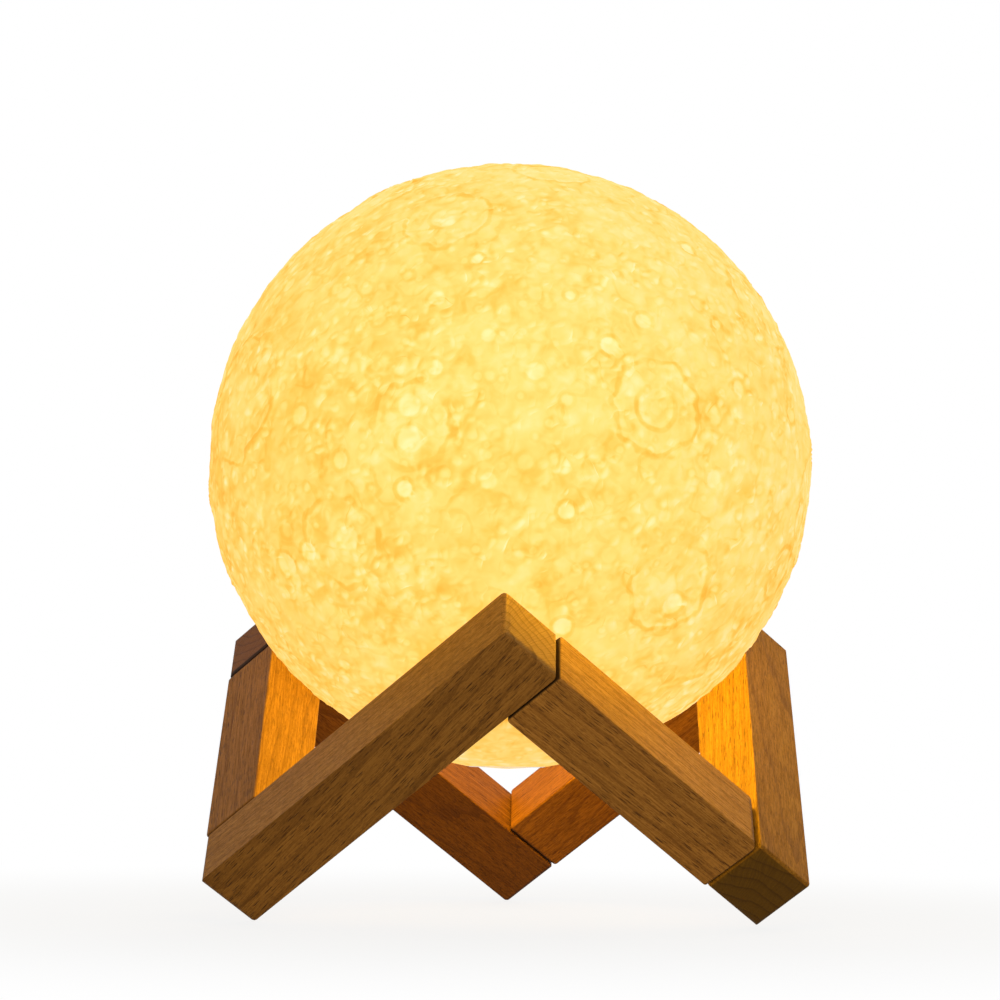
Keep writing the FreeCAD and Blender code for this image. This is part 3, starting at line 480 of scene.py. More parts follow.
# Craters that face the front: longitude (0 at the front, + to the right), latitude, radius in
# degrees, depth as a share of the usual depth.
FRONT_CRATERS = [
    (27.5, 6.8, 4.0, 0.9), (27.5, 6.8, 1.5, 0.5), (19.1, 17.8, 1.9, 2.4), (-18.6, -8.4, 1.7, 2.4),
    (-13.4, 13.2, 1.7, 1.6), (-14.6, 26.9, 1.7, 1.3), (-3.8, 19.3, 1.5, 1.3), (26.9, 23.1, 1.7, 1.4),
    (47.7, 11.6, 1.7, 1.5), (49.4, 41.7, 1.7, 1.6), (10.7, -12.2, 1.7, 1.6), (-41.2, -19.2, 1.9, 1.8),
    (-48.5, -21.6, 2.5, 1.4), (-27.3, -25.0, 1.5, 1.4), (36.3, -28.9, 2.3, 1.7), (-31.3, -3.0, 1.7, 1.2),
    (-17.4, 0.3, 2.6, 1.1), (-17.8, 6.4, 2.3, 1.2), (4.9, 12.5, 1.9, 0.9), (-7.2, 35.7, 1.3, 1.6),
    (-44.7, -42.8, 1.5, 1.4), (12.1, -34.1, 1.9, 2.4), (-31.2, -17.0, 2.5, 1.0), (-41.2, 5.5, 1.9, 1.2),
    (45.5, 23.9, 1.3, 1.4), (66.7, 8.2, 1.7, 1.3), (12.3, 27.7, 1.1, 1.4), (-17.7, 47.5, 3.0, 0.8),
    (40.2, -5.4, 1.9, 1.1), (-3.3, -7.0, 1.7, 1.1),
]
# Random craters: how many, the smallest and largest radius in degrees, share of the usual depth.
RANDOM_CRATERS = [(26, 3.2, 5.5, 0.8), (150, 1.7, 3.2, 0.9), (700, 0.95, 1.7, 1.0)]
# Wide ring plains: longitude, latitude, radius in degrees, depth in millimetres.
RING_PLAINS = [
    (27.5, 7.0, 8.6, 0.34), (34.5, -26.0, 8.5, 0.34), (-33.0, -17.5, 8.0, 0.25), (-17.5, 3.0, 7.5, 0.22),
    (-62.0, 10.0, 12.0, 0.55), (-17.0, 47.0, 8.0, 0.4), (68.0, 30.0, 9.0, 0.5), (82.0, -8.0, 11.0, 0.6),
    (62.0, -52.0, 8.0, 0.5), (112.0, 22.0, 10.0, 0.6), (98.0, -36.0, 10.0, 0.6), (152.0, 4.0, 9.0, 0.6),
    (164.0, 48.0, 11.0, 0.6), (168.0, -26.0, 11.0, 0.65), (-146.0, 18.0, 13.0, 0.65),
    (-146.0, -46.0, 9.0, 0.5), (-108.0, 40.0, 9.0, 0.5), (-92.0, -14.0, 10.0, 0.6),
    (-72.0, -46.0, 8.0, 0.5), (-58.0, 58.0, 9.0, 0.45), (96.0, 62.0, 8.0, 0.5), (20.0, 68.0, 7.0, 0.4),
]
# Smooth dark plains: longitude, latitude, radius in degrees.
DARK_PLAINS = [(-62, 14, 20), (-40, -2, 15), (-8, -14, 14), (14, -10, 10), (2, -32, 16), (40, -45, 12),
               (150, -10, 25), (-150, 30, 22), (100, 30, 18), (-110, -30, 16)]


def direction(longitude, latitude):
    turn, rise = math.radians(longitude), math.radians(latitude)
    return np.array((math.sin(turn) * math.cos(rise), -math.cos(turn) * math.cos(rise), math.sin(rise)))


def lattice_values(cells, seed):
    """Pseudo-random gradients of unit length for whole-number cells."""
    x, y, z = (cells[:, axis].astype(np.int64) for axis in range(3))
    mixed = (x * 73856093) ^ (y * 19349663) ^ (z * 83492791) ^ (seed * 2654435761)
    mixed = (mixed ^ (mixed >> 13)) * 1274126177 & 0x7FFFFFFF
    mixed = (mixed ^ (mixed >> 16)) & 0x7FFFFFFF
    turn = (mixed % 3607) / 3607 * 2 * math.pi
    rise = (mixed // 3607 % 3593) / 3593 * 2 - 1
    flat = np.sqrt(1 - rise ** 2)
    return np.stack((flat * np.cos(turn), flat * np.sin(turn), rise), axis=1)


def noise(points, seed):
    """Gradient noise, about -1 to 1."""
    cells = np.floor(points)
    local = points - cells
    blend = local ** 3 * (local * (local * 6 - 15) + 10)
    total = np.zeros(len(points))
    for corner in product((0, 1), repeat=3):
        gradient = lattice_values(cells + corner, seed)
        weight = np.prod(np.where(corner, blend, 1 - blend), axis=1)
        total += ((local - corner) * gradient).sum(1) * weight
    return total * 1.7


def layered(points, scale, octaves, seed, ridged=False, gain=0.55):
    """Noise in octaves, each about twice as fine as the one before and gain times as high."""
    total, size, norm = np.zeros(len(points)), 1.0, 0.0
    for octave in range(octaves):
        value = noise(points * scale + octave * 7.3, seed + octave)
        total += size * ((1 - 2 * np.abs(value)) if ridged else value)
        norm += size
        scale, size = scale * 2.03, size * gain
    return total / norm


def bubbles(points, scale, seed):
    """Soft blobs: the distance to the nearest of many scattered spots."""
    spots = points * scale
    cells = np.floor(spots)
    first = np.full(len(points), 9.0)
    for shift in product((-1, 0, 1), repeat=3):
        cell = cells + shift
        reach = np.linalg.norm(cell + 0.5 + 0.45 * lattice_values(cell, seed) - spots, axis=1)
        first = np.minimum(first, reach)
    return first


def spread(points, centre, radius):
    """The points' distance from the centre, 1 at the radius, which is in degrees."""
    return np.degrees(np.arccos(np.clip(points @ centre, -1, 1))) / radius


def close_to(points, centre, radius):
    """The numbers of the points that are less than the radius, in degrees, from the centre."""
    return np.nonzero(points @ centre > math.cos(math.radians(radius)))[0]


def from_rim(reach, radius):
    """The distance in millimetres from a rim, less than zero inside it."""
    return (reach - 1) * math.radians(radius) * MOON_RADIUS


def rolling_ground(points):
    """Height in millimetres and glow of the ground before anything is stamped into it: swells,
    wrinkles and blobs, which are lower and smoother in the dark plains."""
    warp = np.stack([noise(points * 6 + 3, 11), noise(points * 6 + 9, 12), noise(points * 6 + 17, 13)], 1)
    bent = points + 0.035 * warp
    dark = np.zeros(len(points))
    for longitude, latitude, radius in DARK_PLAINS:
        dark = np.maximum(dark, np.clip(1.35 - spread(bent, direction(longitude, latitude), radius), 0, 1))
    dark = np.clip(dark + 0.3 * layered(points, 4, 3, 21), 0, 1)
    rough = np.clip(1 - 0.75 * dark + 0.35 * layered(points, 5, 2, 71), 0.15, 1.1)
    blob = bubbles(bent, 17, 81)
    small_blob = bubbles(points + 0.012 * warp, 31, 82)
    wrinkles = layered(bent, 9, 4, 31, ridged=True, gain=0.62)
    swell = layered(points, 2.2, 3, 51)
    cloud = layered(bent, 6, 4, 91)
    height = 0.22 * swell - 0.22 * dark + (0.4 + 0.6 * rough) * (
        0.42 * wrinkles + 0.50 * (0.55 - blob) + 0.30 * (0.55 - small_blob))
    lit = 0.50 + 0.20 * cloud + 0.08 * swell - 0.05 * dark + rough * 0.10 * (0.50 - blob)
    return height, lit


def all_craters():
    """Each crater's direction, radius in degrees and share of the usual depth. Those at the front
    that aren't listed above are small and shallow."""
    craters = [(direction(lon, lat), radius, share) for lon, lat, radius, share in FRONT_CRATERS]
    front_edge, largest_at_front = -0.35, 1.7
    rng = np.random.default_rng(7)
    for count, small, large, share in RANDOM_CRATERS:
        for _ in range(count):
            spot = rng.normal(size=3)
            spot /= np.linalg.norm(spot)
            radius = small * (large / small) ** rng.random()
            facing = spot[1] < front_edge
            if facing and radius > largest_at_front:
                continue
            craters.append((spot, radius, share * (0.6 if facing else 0.9) * rng.uniform(0.4, 1.3)))
    return craters


def crater_shape(reach):
    """Bowl with a flat floor, a sharp rim and a falling apron; reach is 1 at the rim."""
    bowl = np.clip(reach, 0, 1)
    inside = 1.25 * bowl ** 3.2 - 1
    apron = 0.25 * np.exp(-((np.maximum(reach, 1) - 1) / 0.28) ** 2)
    return np.where(reach < 1, inside, apron)


def stamp_plain(points, wobble, height, glow, centre, radius, depth):
    near = close_to(points, centre, radius * 2)
    reach = spread(points[near], centre, radius) * wobble[near]
    rim = np.exp(-((reach - 1) / 0.07) ** 2)
    floor = np.clip(1 - reach, 0, 1) ** 0.5
    height[near] += depth * (0.9 * rim - 0.35 * floor)
    glow["plain"][near] = np.minimum(glow["plain"][near], from_rim(reach, radius))
    glow["lit"][near] += 0.08 * floor


def stamp_crater(points, wobble, height, glow, centre, radius, share):
    near = close_to(points, centre, radius * 2.4)
    reach = spread(points[near], centre, radius) * wobble[near] ** 0.4
    depth = min(0.62, 0.20 * radius ** 0.75) * min(share, 1.3)
    levelled = np.clip(1.6 - reach, 0, 1)
    height[near] = height[near] * (1 - 0.55 * levelled) + depth * crater_shape(reach)
    is_basin = radius > BASIN_RADIUS
    nearest = glow["basin" if is_basin else "crater"]
    distance = from_rim(reach, radius)
    closer = distance < nearest[near]
    nearest[near] = np.where(closer, distance, nearest[near])
    if not is_basin:
        glow["clear"][near] = np.where(closer, min(share, 2.0), glow["clear"][near])


def globe_relief(points):
    """Height of the ground below its highest level in millimetres, and what its glow is made of:
    the level from 0 to 1, the distances in millimetres from the nearest rims of a plain, a basin
    and a crater, less than zero inside, and how clear that crater is."""
    height, lit = rolling_ground(points)
    glow = {"lit": lit, "clear": np.zeros(len(points))}
    for kind in ("plain", "basin", "crater"):
        glow[kind] = np.full(len(points), FAR_RIM)
    wobble = 1 + 0.12 * noise(points * 14, 61) + 0.07 * noise(points * 33, 62)
    for longitude, latitude, radius, depth in RING_PLAINS:
        stamp_plain(points, wobble, height, glow, direction(longitude, latitude), radius, depth)
    for crater in all_craters():
        stamp_crater(points, wobble, height, glow, *crater)
    glow["lit"] = np.clip(glow["lit"], 0, 1)
    top = np.quantile(height, 0.9985)    # but for a few peaks
    return np.clip(height - top, -GROUND_DEPTH, 0), glow


# ---- the globe's mesh ---------------------------------------------------------------------------

def blown_up(spot, half):
    """The direction of a spot on the surface of a cube, the cells spread evenly."""
    return Vector([math.tan(value / half * math.pi / 4) for value in spot]).normalized()


def off_centre(spot):
    """Which square ring of the south face a spot is on."""
    return max(abs(spot[0]), abs(spot[1]))


def round_the_hole(spot, half, hole, polar):
    """The direction of a spot on the south face, whose inmost square ring becomes a round hole;
    polar is the hole's angle from the pole."""
    ring = off_centre(spot)
    outer = blown_up((spot[0] / ring * half, spot[1] / ring * half, -half), half)
    turn = math.atan2(outer.y, outer.x)
    share = (ring - hole) / (half - hole)
    angle = polar + (math.acos(-outer.z) - polar) * share
    return Vector((math.sin(angle) * math.cos(turn), math.sin(angle) * math.sin(turn), -math.cos(angle)))


def cube_cells(cells, hole):
    """The corners of each cell on a cube's surface, but for the square hole in its south face."""
    half = cells / 2
    for axis, side, i, j in product(range(3), (-1, 1), range(cells), range(cells)):
        corners = []
        for di, dj in ((0, 0), (1, 0), (1, 1), (0, 1)):
            spot = [0.0, 0.0, 0.0]
            spot[axis] = side * half
            spot[(axis + 1) % 3] = i + di - half
            spot[(axis + 2) % 3] = j + dj - half
            corners.append(tuple(spot))
        in_hole = axis == 2 and side < 0 and max(map(off_centre, corners)) <= hole
        if not in_hole:
            yield corners if side > 0 else corners[::-1]


def cube_sphere(cells, hole_cells, ball_radius):
    """Unit directions and quads of a cube blown up to a sphere, with the round opening at the
    south pole. Returns the directions, the quads and the opening's rim in order."""
    half, hole = cells / 2, hole_cells / 2
    polar = math.asin(OPENING / ball_radius)
    numbers, points, quads, rim = {}, [], [], []
    for corners in cube_cells(cells, hole):
        for spot in corners:
            if spot not in numbers:
                numbers[spot] = len(points)
                if spot[2] == -half and off_centre(spot) < half:
                    points.append(round_the_hole(spot, half, hole, polar))
                else:
                    points.append(blown_up(spot, half))
        quads.append([numbers[spot] for spot in corners])
    for side, step in product(range(4), range(hole_cells)):
        x, y = step - hole, -hole
        for _ in range(side):
            x, y = -y, x
        rim.append(numbers[(x, y, -half)])
    return np.array([tuple(point) for point in points]), quads, rim


def set_rim(places, directions, rim, height):
    """Moves the rim's places onto the opening's circle."""
    for number in rim:
        turn = math.atan2(directions[number, 1], directions[number, 0])
        places[number] = (OPENING * math.cos(turn), OPENING * math.sin(turn), height)


def rim_faces(outer_rim, inner_rim):
    """Triangles between the fine outer and the coarse inner rim of the opening."""
    faces = []
    share = len(outer_rim) // len(inner_rim)
    middle = share // 2
    for index, number in enumerate(inner_rim):
        following = inner_rim[(index + 1) % len(inner_rim)]
        ring = [outer_rim[(index * share + step) % len(outer_rim)] for step in range(share + 1)]
        for step in range(share):
            faces.append((ring[step], number if step < middle else following, ring[step + 1]))
        faces.append((ring[middle], number, following))
    return faces


def make_globe():
    """The lit globe with its relief, as a closed shell with the opening at its south pole."""
    cavity = MOON_RADIUS - SHADE_WALL
    outer, outer_quads, outer_rim = cube_sphere(GLOBE_CELLS, OPENING_CELLS, MOON_RADIUS)
    inner, inner_quads, inner_rim = cube_sphere(GLOBE_CELLS // COARSER, OPENING_CELLS // COARSER, cavity)
    height, glow = globe_relief(outer)
    latitude = np.degrees(np.arcsin(np.clip(outer[:, 2], -1, 1)))
    rough = np.clip((latitude - CALM_LATITUDE) / CALM_BAND, 0, 1)
    places = outer * (MOON_TOP_RADIUS + height * rough)[:, None]
    set_rim(places, outer, outer_rim, -math.sqrt(MOON_RADIUS ** 2 - OPENING ** 2))
    land = LAND_RISE - MOON_RADIUS
    inside = inner * cavity
    inside[:, 2] = np.maximum(inside[:, 2], land)
    set_rim(inside, inner, inner_rim, land)

    start = len(places)
    faces = [tuple(quad) for quad in outer_quads]
    faces += [tuple(start + number for number in reversed(quad)) for quad in inner_quads]
    faces += rim_faces(outer_rim, [start + number for number in inner_rim])
    data = bpy.data.meshes.new("moon_relief")
    everything = np.vstack((places, inside)) * MM + np.array((0, 0, MOON_CENTRE * MM))
    data.from_pydata(everything.tolist(), [], faces)
    data.update()
    smooth_ground = {"lit": CAP_GLOW, "clear": 0.0, "plain": FAR_RIM, "basin": FAR_RIM, "crater": FAR_RIM}
    for name, level in smooth_ground.items():
        values = np.concatenate((glow[name] * rough + (1 - rough) * level, np.full(len(inside), level)))
        data.attributes.new(name, "FLOAT", "POINT").data.foreach_set("value", values.astype(np.float32))
    for face in data.polygons:
        face.use_smooth = True
    mesh = bmesh.new()
    mesh.from_mesh(data)
    bmesh.ops.recalc_face_normals(mesh, faces=mesh.faces)
    mesh.to_mesh(data)
    mesh.free()
    data.materials.append(GlowingShade("glowing_shade").material)
    piece = linked("moon_relief", data)
    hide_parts("moon_shade")
    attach(piece, "moon")
    return piece


# ---- the globe's glow ---------------------------------------------------------------------------

class GlowingShade(Shader):
    """Printed shade lit from inside: thin ground glows bright, rims and folds glow deeper. The
    calm one is for a mesh without craters; it paints that glow onto the base cap. Distances in it are in
    millimetres."""

    def __init__(self, name, calm=False):
        super().__init__(name, roughness=0.75, Specular_IOR_Level=0.1)
        self.spot = self.stretched(PLAIN_AXES, (1000, 1000, 1000))
        self.ragged = self.centred(self.noise(self.spot, 0.30, 2.0, 0.5))
        self.broken = self.step(self.noise(self.spot, 0.11, 1.0), 0.36, 0.60, 0.25, 1.0)

        level = CAP_GLOW if calm else self.attribute("lit")
        level, relief = self.rough_ground(level)
        level = self.pimples(level)
        if not calm:
            level = self.crater_rims(level)
        # Painted light: the glow is brighter to the right and upwards, deeper to the left and downwards.
        painted_light_slant = self.dot(self.spot, (0.0010, 0.0, 0.0008))
        level = self.plus(level, self.minus(painted_light_slant, 0.060))
        self.set(Emission_Color=self.ramp(level, [
            (0.00, (0.93, 0.43, 0.040)),
            (0.25, (0.96, 0.53, 0.080)),
            (0.50, (0.98, 0.642, 0.158)),
            (0.75, (0.99, 0.710, 0.258)),
            (1.00, (1.00, 0.785, 0.375)),
        ]))
        # Painted glow: the plastic's own colour is given the warm tint of its glow, deeper where the glow is
        # deeper.
        self.set(Base_Color=self.ramp(level, [
            (0.05, (0.36, 0.20, 0.070)),
            (0.45, (0.36, 0.23, 0.095)),
            (0.90, (0.38, 0.27, 0.130)),
        ]))
        self.surface.inputs["Emission Strength"].default_value = 1.0
        self.bump(relief, 0.45, 0.0006)

    def attribute(self, name):
        return self.add("ShaderNodeAttribute", attribute_name=name).outputs["Fac"]

    def centred(self, value):
        return self.minus(value, 0.5)

    def line(self, value, half_width):
        """1 where the value is close to 0."""
        return self.step(self.math("ABSOLUTE", value), 0.35 * half_width, half_width, 1.0, 0.0)

    def nodules(self, spot):
        """Height of the small nodules that cover the ground."""
        height = self.noise(spot, 0.20, 1.5, 0.5)
        for size, weight in ((4.8, 0.42), (2.7, 0.36)):
            distance, chance, _ = self.cells(spot, 1 / size)
            dome = self.step(distance, 0.08, 0.60, 1.0, 0.0)
            height = self.total(height, (self.times(dome, self.step(chance, 0.15, 0.85, 0.15, 1.0)), weight))
        return height

    def rough_ground(self, level):
        """The glow with nodules given a painted highlight on one side and painted shade on the other,
        folds and scarps, and their relief.
        """
        shift = self.add("ShaderNodeTexNoise", {"Vector": self.spot, "Scale": 0.30, "Detail": 0.0})
        shift = self.add("ShaderNodeVectorMath", {0: shift.outputs["Color"], 1: (0.5, 0.5, 0.5)},
                         operation="SUBTRACT")
        shift = self.add("ShaderNodeVectorMath", {0: shift.outputs[0], "Scale": 2.2}, operation="SCALE")
        bent = self.add("ShaderNodeVectorMath", {0: self.spot, 1: shift.outputs[0]}).outputs[0]
        # Painted highlight and shade: the nodules are taken again a little aside, so each is brighter on one
        # side and darker on the other, as if lit from there.
        beside = self.add("ShaderNodeVectorMath", {0: bent, 1: (-0.30, 0.0, 0.36)}).outputs[0]
        lumps = self.nodules(bent)
        painted_side_light = self.minus(self.nodules(beside), lumps)
        lumps = self.minus(lumps, 0.70)
        folds = self.centred(self.noise(bent, 0.13, 3.0, 0.55, 0.3))
        patch = self.step(self.noise(self.spot, 0.060, 2.0, 0.6), 0.38, 0.60, 0.45, 1.0)
        scarp = self.line(self.centred(self.noise(bent, 0.085, 1.5, 0.5)), 0.030)
        level = self.total(level, (self.times(lumps, patch), 0.56), (self.times(painted_side_light, patch), 1.85),
                           (folds, 0.50), (self.times(scarp, self.broken), -0.11))
        return level, self.total(lumps, (folds, 0.8))

    def pimples(self, level):
        """The glow with scattered bright discs in two sizes, each with a darker rim."""
        for size, share in ((6.4, 0.55), (3.3, 0.55)):
            distance, chance, other_chance = self.cells(self.spot, 1 / size)
            radius = self.step(chance, 0.0, 1.0, 0.20, 0.38)
            beyond = self.minus(self.total(distance, (self.ragged, 0.14)), radius)
            kept = self.step(other_chance, 1 - share, 1.3 - share)
            disc = self.step(beyond, -0.16, 0.0, 1.0, 0.0)
            level = self.total(level, (self.times(disc, kept), 0.11),
                               (self.times(self.line(beyond, 0.15), kept), -0.06))
        return level

    def crater_rims(self, level):
        """The glow with a dark rim and a pale inner line for each plain and basin of the mesh, and
        a pale floor and a dark rim for each small crater."""
        for kind, wave, weight in (("plain", 1.5, 0.23), ("basin", 0.7, 0.27)):
            beyond = self.total(self.attribute(kind), (self.ragged, wave))
            inner_side = self.plus(beyond, 1.15)
            level = self.total(level, (self.times(self.line(beyond, 1.0), self.broken), -weight),
                               (self.times(self.line(inner_side, 0.95), self.broken), weight * 0.4))
        clear = self.attribute("clear")
        beyond = self.total(self.attribute("crater"), (self.ragged, 0.7))
        disc = self.times(self.step(beyond, -0.8, 0.05, 1.0, 0.0), clear)
        ring = self.times(self.line(self.minus(beyond, 0.25), 0.70), clear)
        return self.total(level, (disc, 0.18), (self.times(ring, self.broken), -0.12))


# ---- the other pieces' finishes -----------------------------------------------------------------

def moulded(name, color, roughness, grain=1800.0, depth=0.00004, spread=0.06):
    """Moulded plastic or a coated part with a fine grain and a slight change of tone."""
    shader = Shader(name, color, roughness)
    grains = shader.noise(shader.place, grain, 2.0, 0.55)
    cloud = shader.noise(shader.place, 90.0, 2.0, 0.5)
    darker = tuple(part * (1 - spread) for part in color)
    lighter = tuple(min(1, part * (1 + spread) + 0.002) for part in color)
    shader.set(Base_Color=shader.mix(shader.step(cloud, 0.3, 0.7), darker, lighter))
    shader.set(Roughness=shader.step(grains, 0.25, 0.75, roughness - 0.06, roughness + 0.08))
    shader.bump(grains, 0.4, depth)
    return shader.material


def metal(name, color, roughness, stretch=(1, 1, 1)):
    """Plated or brushed metal; its fine lines are drawn out where the stretch is small."""
    shader = Shader(name, color, roughness, Metallic=1.0)
    brushed = shader.stretched(PLAIN_AXES, [900 * part for part in stretch])
    lines = shader.noise(brushed, 1.0, 3.0, 0.6)
    cloud = shader.noise(shader.place, 120.0, 2.0, 0.5)
    darker = tuple(part * 0.86 for part in color)
    shader.set(Base_Color=shader.mix(shader.step(cloud, 0.3, 0.7), darker, color))
    shader.set(Roughness=shader.step(lines, 0.25, 0.75, max(0.04, roughness - 0.08), roughness + 0.10))
    shader.bump(lines, 0.25, 0.00002)
    return shader.material


def dowel_beech():
    dowel = Shader("dowel_beech", (0.55, 0.36, 0.18), 0.6)
    grain = dowel.noise(dowel.place, 700.0, 3.0, 0.6)
    dowel.set(Base_Color=dowel.mix(dowel.step(grain, 0.3, 0.7), (0.50, 0.32, 0.15), (0.62, 0.43, 0.24)))
    dowel.bump(grain, 0.3, 0.0001)
    return dowel.material


def make_finishes():
    """Materials for the part's own meshes that are seen as they are."""
    finishes = {
        # Painted glow: the base cap is given the shade's glow.
        "base_cap": GlowingShade("cap_painted_glow", calm=True).material,
        "touch_ring": metal("satin_ring", (0.88, 0.86, 0.82), 0.30),
        "ring_contact_pin": metal("brass_pin", (0.75, 0.55, 0.25), 0.25),
        "charging_socket": metal("plated_socket", (0.62, 0.62, 0.64), 0.28, (0.3, 3, 3)),
        "socket_tongue": moulded("socket_tongue_black", (0.02, 0.02, 0.022), 0.45),
        "power_button": moulded("button_white", (0.82, 0.81, 0.78), 0.30),
        "switch_plunger": moulded("plunger_white", (0.78, 0.78, 0.75), 0.40),
        "power_switch": moulded("switch_black", (0.03, 0.03, 0.032), 0.45),
        "status_light_pipe": moulded("pipe_clear", (0.72, 0.85, 0.78), 0.12),
        "mounting_collar": moulded("collar_white", (0.80, 0.78, 0.72), 0.48),
        "battery_column": moulded("column_white", (0.80, 0.79, 0.75), 0.48),
        "control_board": moulded("board_green", (0.02, 0.16, 0.06), 0.35, 3000.0, 0.00002),
        "board_parts": moulded("chips_black", (0.025, 0.025, 0.028), 0.50, 2600.0),
        "light_board": moulded("board_white", (0.82, 0.82, 0.81), 0.35, 3000.0, 0.00002),
        "light_chips": moulded("phosphor_yellow", (0.90, 0.66, 0.18), 0.30),
        "cap_screws": metal("zinc_screws", (0.55, 0.55, 0.56), 0.30),
        "light_board_screws": metal("zinc_fixings", (0.55, 0.55, 0.56), 0.30),
        "battery_cell": moulded("cell_film", (0.03, 0.13, 0.42), 0.30, 500.0, 0.00003),
        "battery_pads": moulded("grey_foam", (0.09, 0.09, 0.10), 0.92, 1100.0, 0.0004, 0.2),
        "battery_tabs": metal("nickel_tabs", (0.66, 0.64, 0.60), 0.30, (3, 0.5, 3)),
        "light_wires": moulded("red_insulation", (0.45, 0.02, 0.015), 0.42),
        "dowels": dowel_beech(),
    }
    for node, material in finishes.items():
        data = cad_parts[node].data
        if data.materials:
            for index in range(len(data.materials)):
                data.materials[index] = material
        else:
            data.materials.append(material)


# ---- stage, lights and camera -------------------------------------------------------------------

def seen_directly(tree):
    """1 for the camera's rays and for those that reach a place by a mirror or through glass."""
    path = tree.add("ShaderNodeLightPath").outputs
    seen = tree.math("MAXIMUM", path["Is Camera Ray"], path["Is Transmission Ray"])
    return tree.math("MAXIMUM", seen, path["Is Glossy Ray"])


def plain_background():
    """White to the camera, to mirrors and through glass; a soft grey to everything else."""
    world = bpy.data.worlds.new("soft_room")
    bpy.context.scene.world = world
    world.use_nodes = True
    tree = Wiring(world.node_tree)
    tree.nodes.clear()
    room, white = (tree.add("ShaderNodeBackground", {"Color": (1, 1, 1, 1), "Strength": strength}).outputs[0]
                   for strength in (0.09, 1.0))
    tree.add("ShaderNodeOutputWorld", {"Surface": tree.blend(seen_directly(tree), room, white)})


def floor_material():
    """Pale to the camera, white far from the lamp and with its shadow close to it; dim to the
    lamp's own light; clear from below, so that the underside of the lamp can be seen."""
    material = bpy.data.materials.new("floor_white")
    material.use_nodes = True
    tree = Wiring(material.node_tree)
    tree.nodes.clear()
    plain = tree.add("ShaderNodeBsdfDiffuse", {"Color": (0.80, 0.80, 0.80, 1)}).outputs[0]
    dim = tree.add("ShaderNodeBsdfDiffuse", {"Color": (0.20, 0.15, 0.10, 1)}).outputs[0]
    white = tree.add("ShaderNodeEmission", {"Strength": 1.0}).outputs[0]
    place = tree.add("ShaderNodeTexCoord").outputs["Object"]
    distance = tree.add("ShaderNodeVectorMath", {0: place}, operation="LENGTH").outputs["Value"]
    pale = tree.blend(tree.step(distance, 0.06, 0.30, 0.86, 1.0), plain, white)
    above = tree.blend(seen_directly(tree), dim, pale)
    below = tree.add("ShaderNodeNewGeometry").outputs["Backfacing"]
    clear = tree.add("ShaderNodeBsdfTransparent").outputs[0]
    tree.add("ShaderNodeOutputMaterial", {"Surface": tree.blend(below, above, clear)})
    return material


def make_floor():
    mesh = bmesh.new()
    bmesh.ops.create_grid(mesh, x_segments=1, y_segments=1, size=FLOOR_REACH * MM)
    data = bpy.data.meshes.new("floor")
    mesh.to_mesh(data)
    mesh.free()
    data.materials.append(floor_material())
    floor = linked("floor", data)
    floor.location.z = -FLOOR_DROP * MM
    floor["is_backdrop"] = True


def area_light(name, place, target, size, power, color):
    data = bpy.data.lights.new(name, "AREA")
    data.shape = "DISK"
    data.size = size
    data.energy = power
    data.color = color
    light = linked(name, data)
    light.location = place
    light.rotation_euler = (Vector(target) - Vector(place)).to_track_quat("-Z", "Y").to_euler()
    light.visible_glossy = False


def moonlight(name, place, power, size, globe, wooden):
    """The globe's light on the wood, which goes with the globe."""
    data = bpy.data.lights.new(name, "POINT")
    data.energy = power
    data.color = (1.0, 0.76, 0.0)
    data.shadow_soft_size = size
    light = linked(name, data)
    light.location = place
    light.visible_glossy = False
    light.parent = globe
    light.light_linking.receiver_collection = wooden
    light.light_linking.blocker_collection = wooden


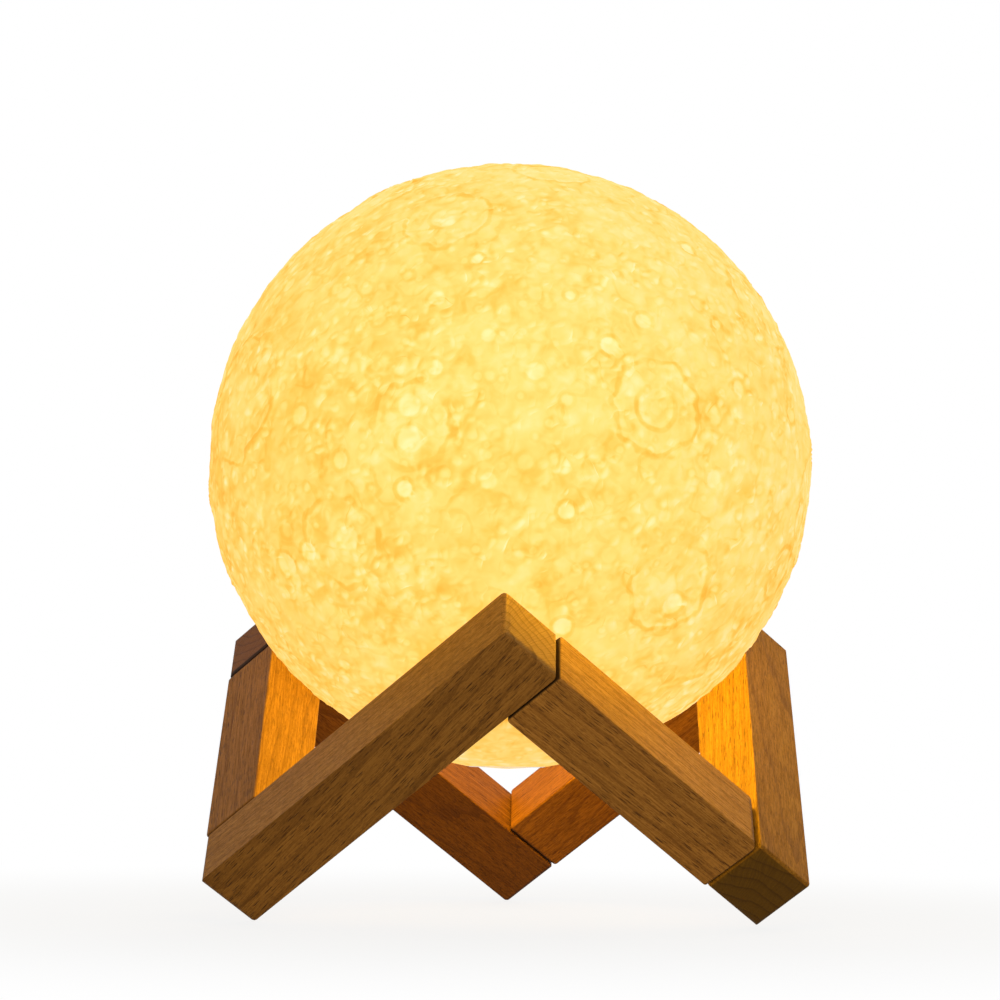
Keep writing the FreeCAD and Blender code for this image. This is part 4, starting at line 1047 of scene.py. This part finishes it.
def make_lights(globe, bars):
    middle, low = (0, 0, 0.09), (0, 0, 0.06)
    area_light("key", (0.22, -0.85, 0.75), middle, 0.8, 0.75, (1.0, 0.88, 0.62))
    area_light("fill", (-0.75, -0.85, 0.45), middle, 0.9, 1.1, (1.0, 0.98, 0.95))
    area_light("low_front", (0.0, -1.1, 0.12), low, 0.5, 8.5, (1.0, 0.86, 0.52))
    area_light("back", (0.2, 0.9, 0.7), middle, 0.9, 5.0, (1.0, 0.95, 0.85))
    area_light("low_back", (0.1, 1.1, 0.14), low, 0.5, 11.0, (1.0, 0.90, 0.66))
    wooden = bpy.data.collections.new("wooden")
    for piece in bars:
        wooden.objects.link(piece)
    moonlight("moonlight", (0.002, 0.006, MOON_CENTRE * MM), 3.6, 0.062, globe, wooden)
    moonlight("near_moonlight", (0.020, -0.034, 0.100), 0.6, 0.018, globe, wooden)


def make_camera():
    """Camera fitted to the photograph: near the floor, looking slightly up."""
    azimuth, elevation, roll = (math.radians(value) for value in (0.63, -3.63, 0.58))
    distance, aside, level = 0.851, -0.0024, 0.1019
    focal, image_width, sensor_width = 3442, 1000, 36    # pixels, pixels, millimetres
    forward = -Vector((math.sin(azimuth) * math.cos(elevation), -math.cos(azimuth) * math.cos(elevation),
                       math.sin(elevation)))
    right = Vector((math.cos(azimuth), math.sin(azimuth), 0))
    up = right.cross(forward)
    side = math.cos(roll) * right + math.sin(roll) * up
    top = -math.sin(roll) * right + math.cos(roll) * up
    target = Vector((aside * math.cos(azimuth), aside * math.sin(azimuth), level))
    data = bpy.data.cameras.new("camera")
    data.sensor_fit = "HORIZONTAL"
    data.sensor_width = sensor_width
    data.lens = sensor_width * focal / image_width
    data.clip_start = 0.01
    camera = linked("camera", data)
    axes = Matrix((side, top, -forward)).transposed().to_4x4()
    camera.matrix_world = Matrix.Translation(target - forward * distance) @ axes
    bpy.context.scene.camera = camera


bpy.context.scene.view_settings.view_transform = "Standard"
wooden_bars = make_stand()
lit_globe = make_globe()
make_finishes()
plain_background()
make_floor()
make_lights(lit_globe, wooden_bars)
make_camera()

[[list(corner) for corner in box] for box in (cad_box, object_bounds())]
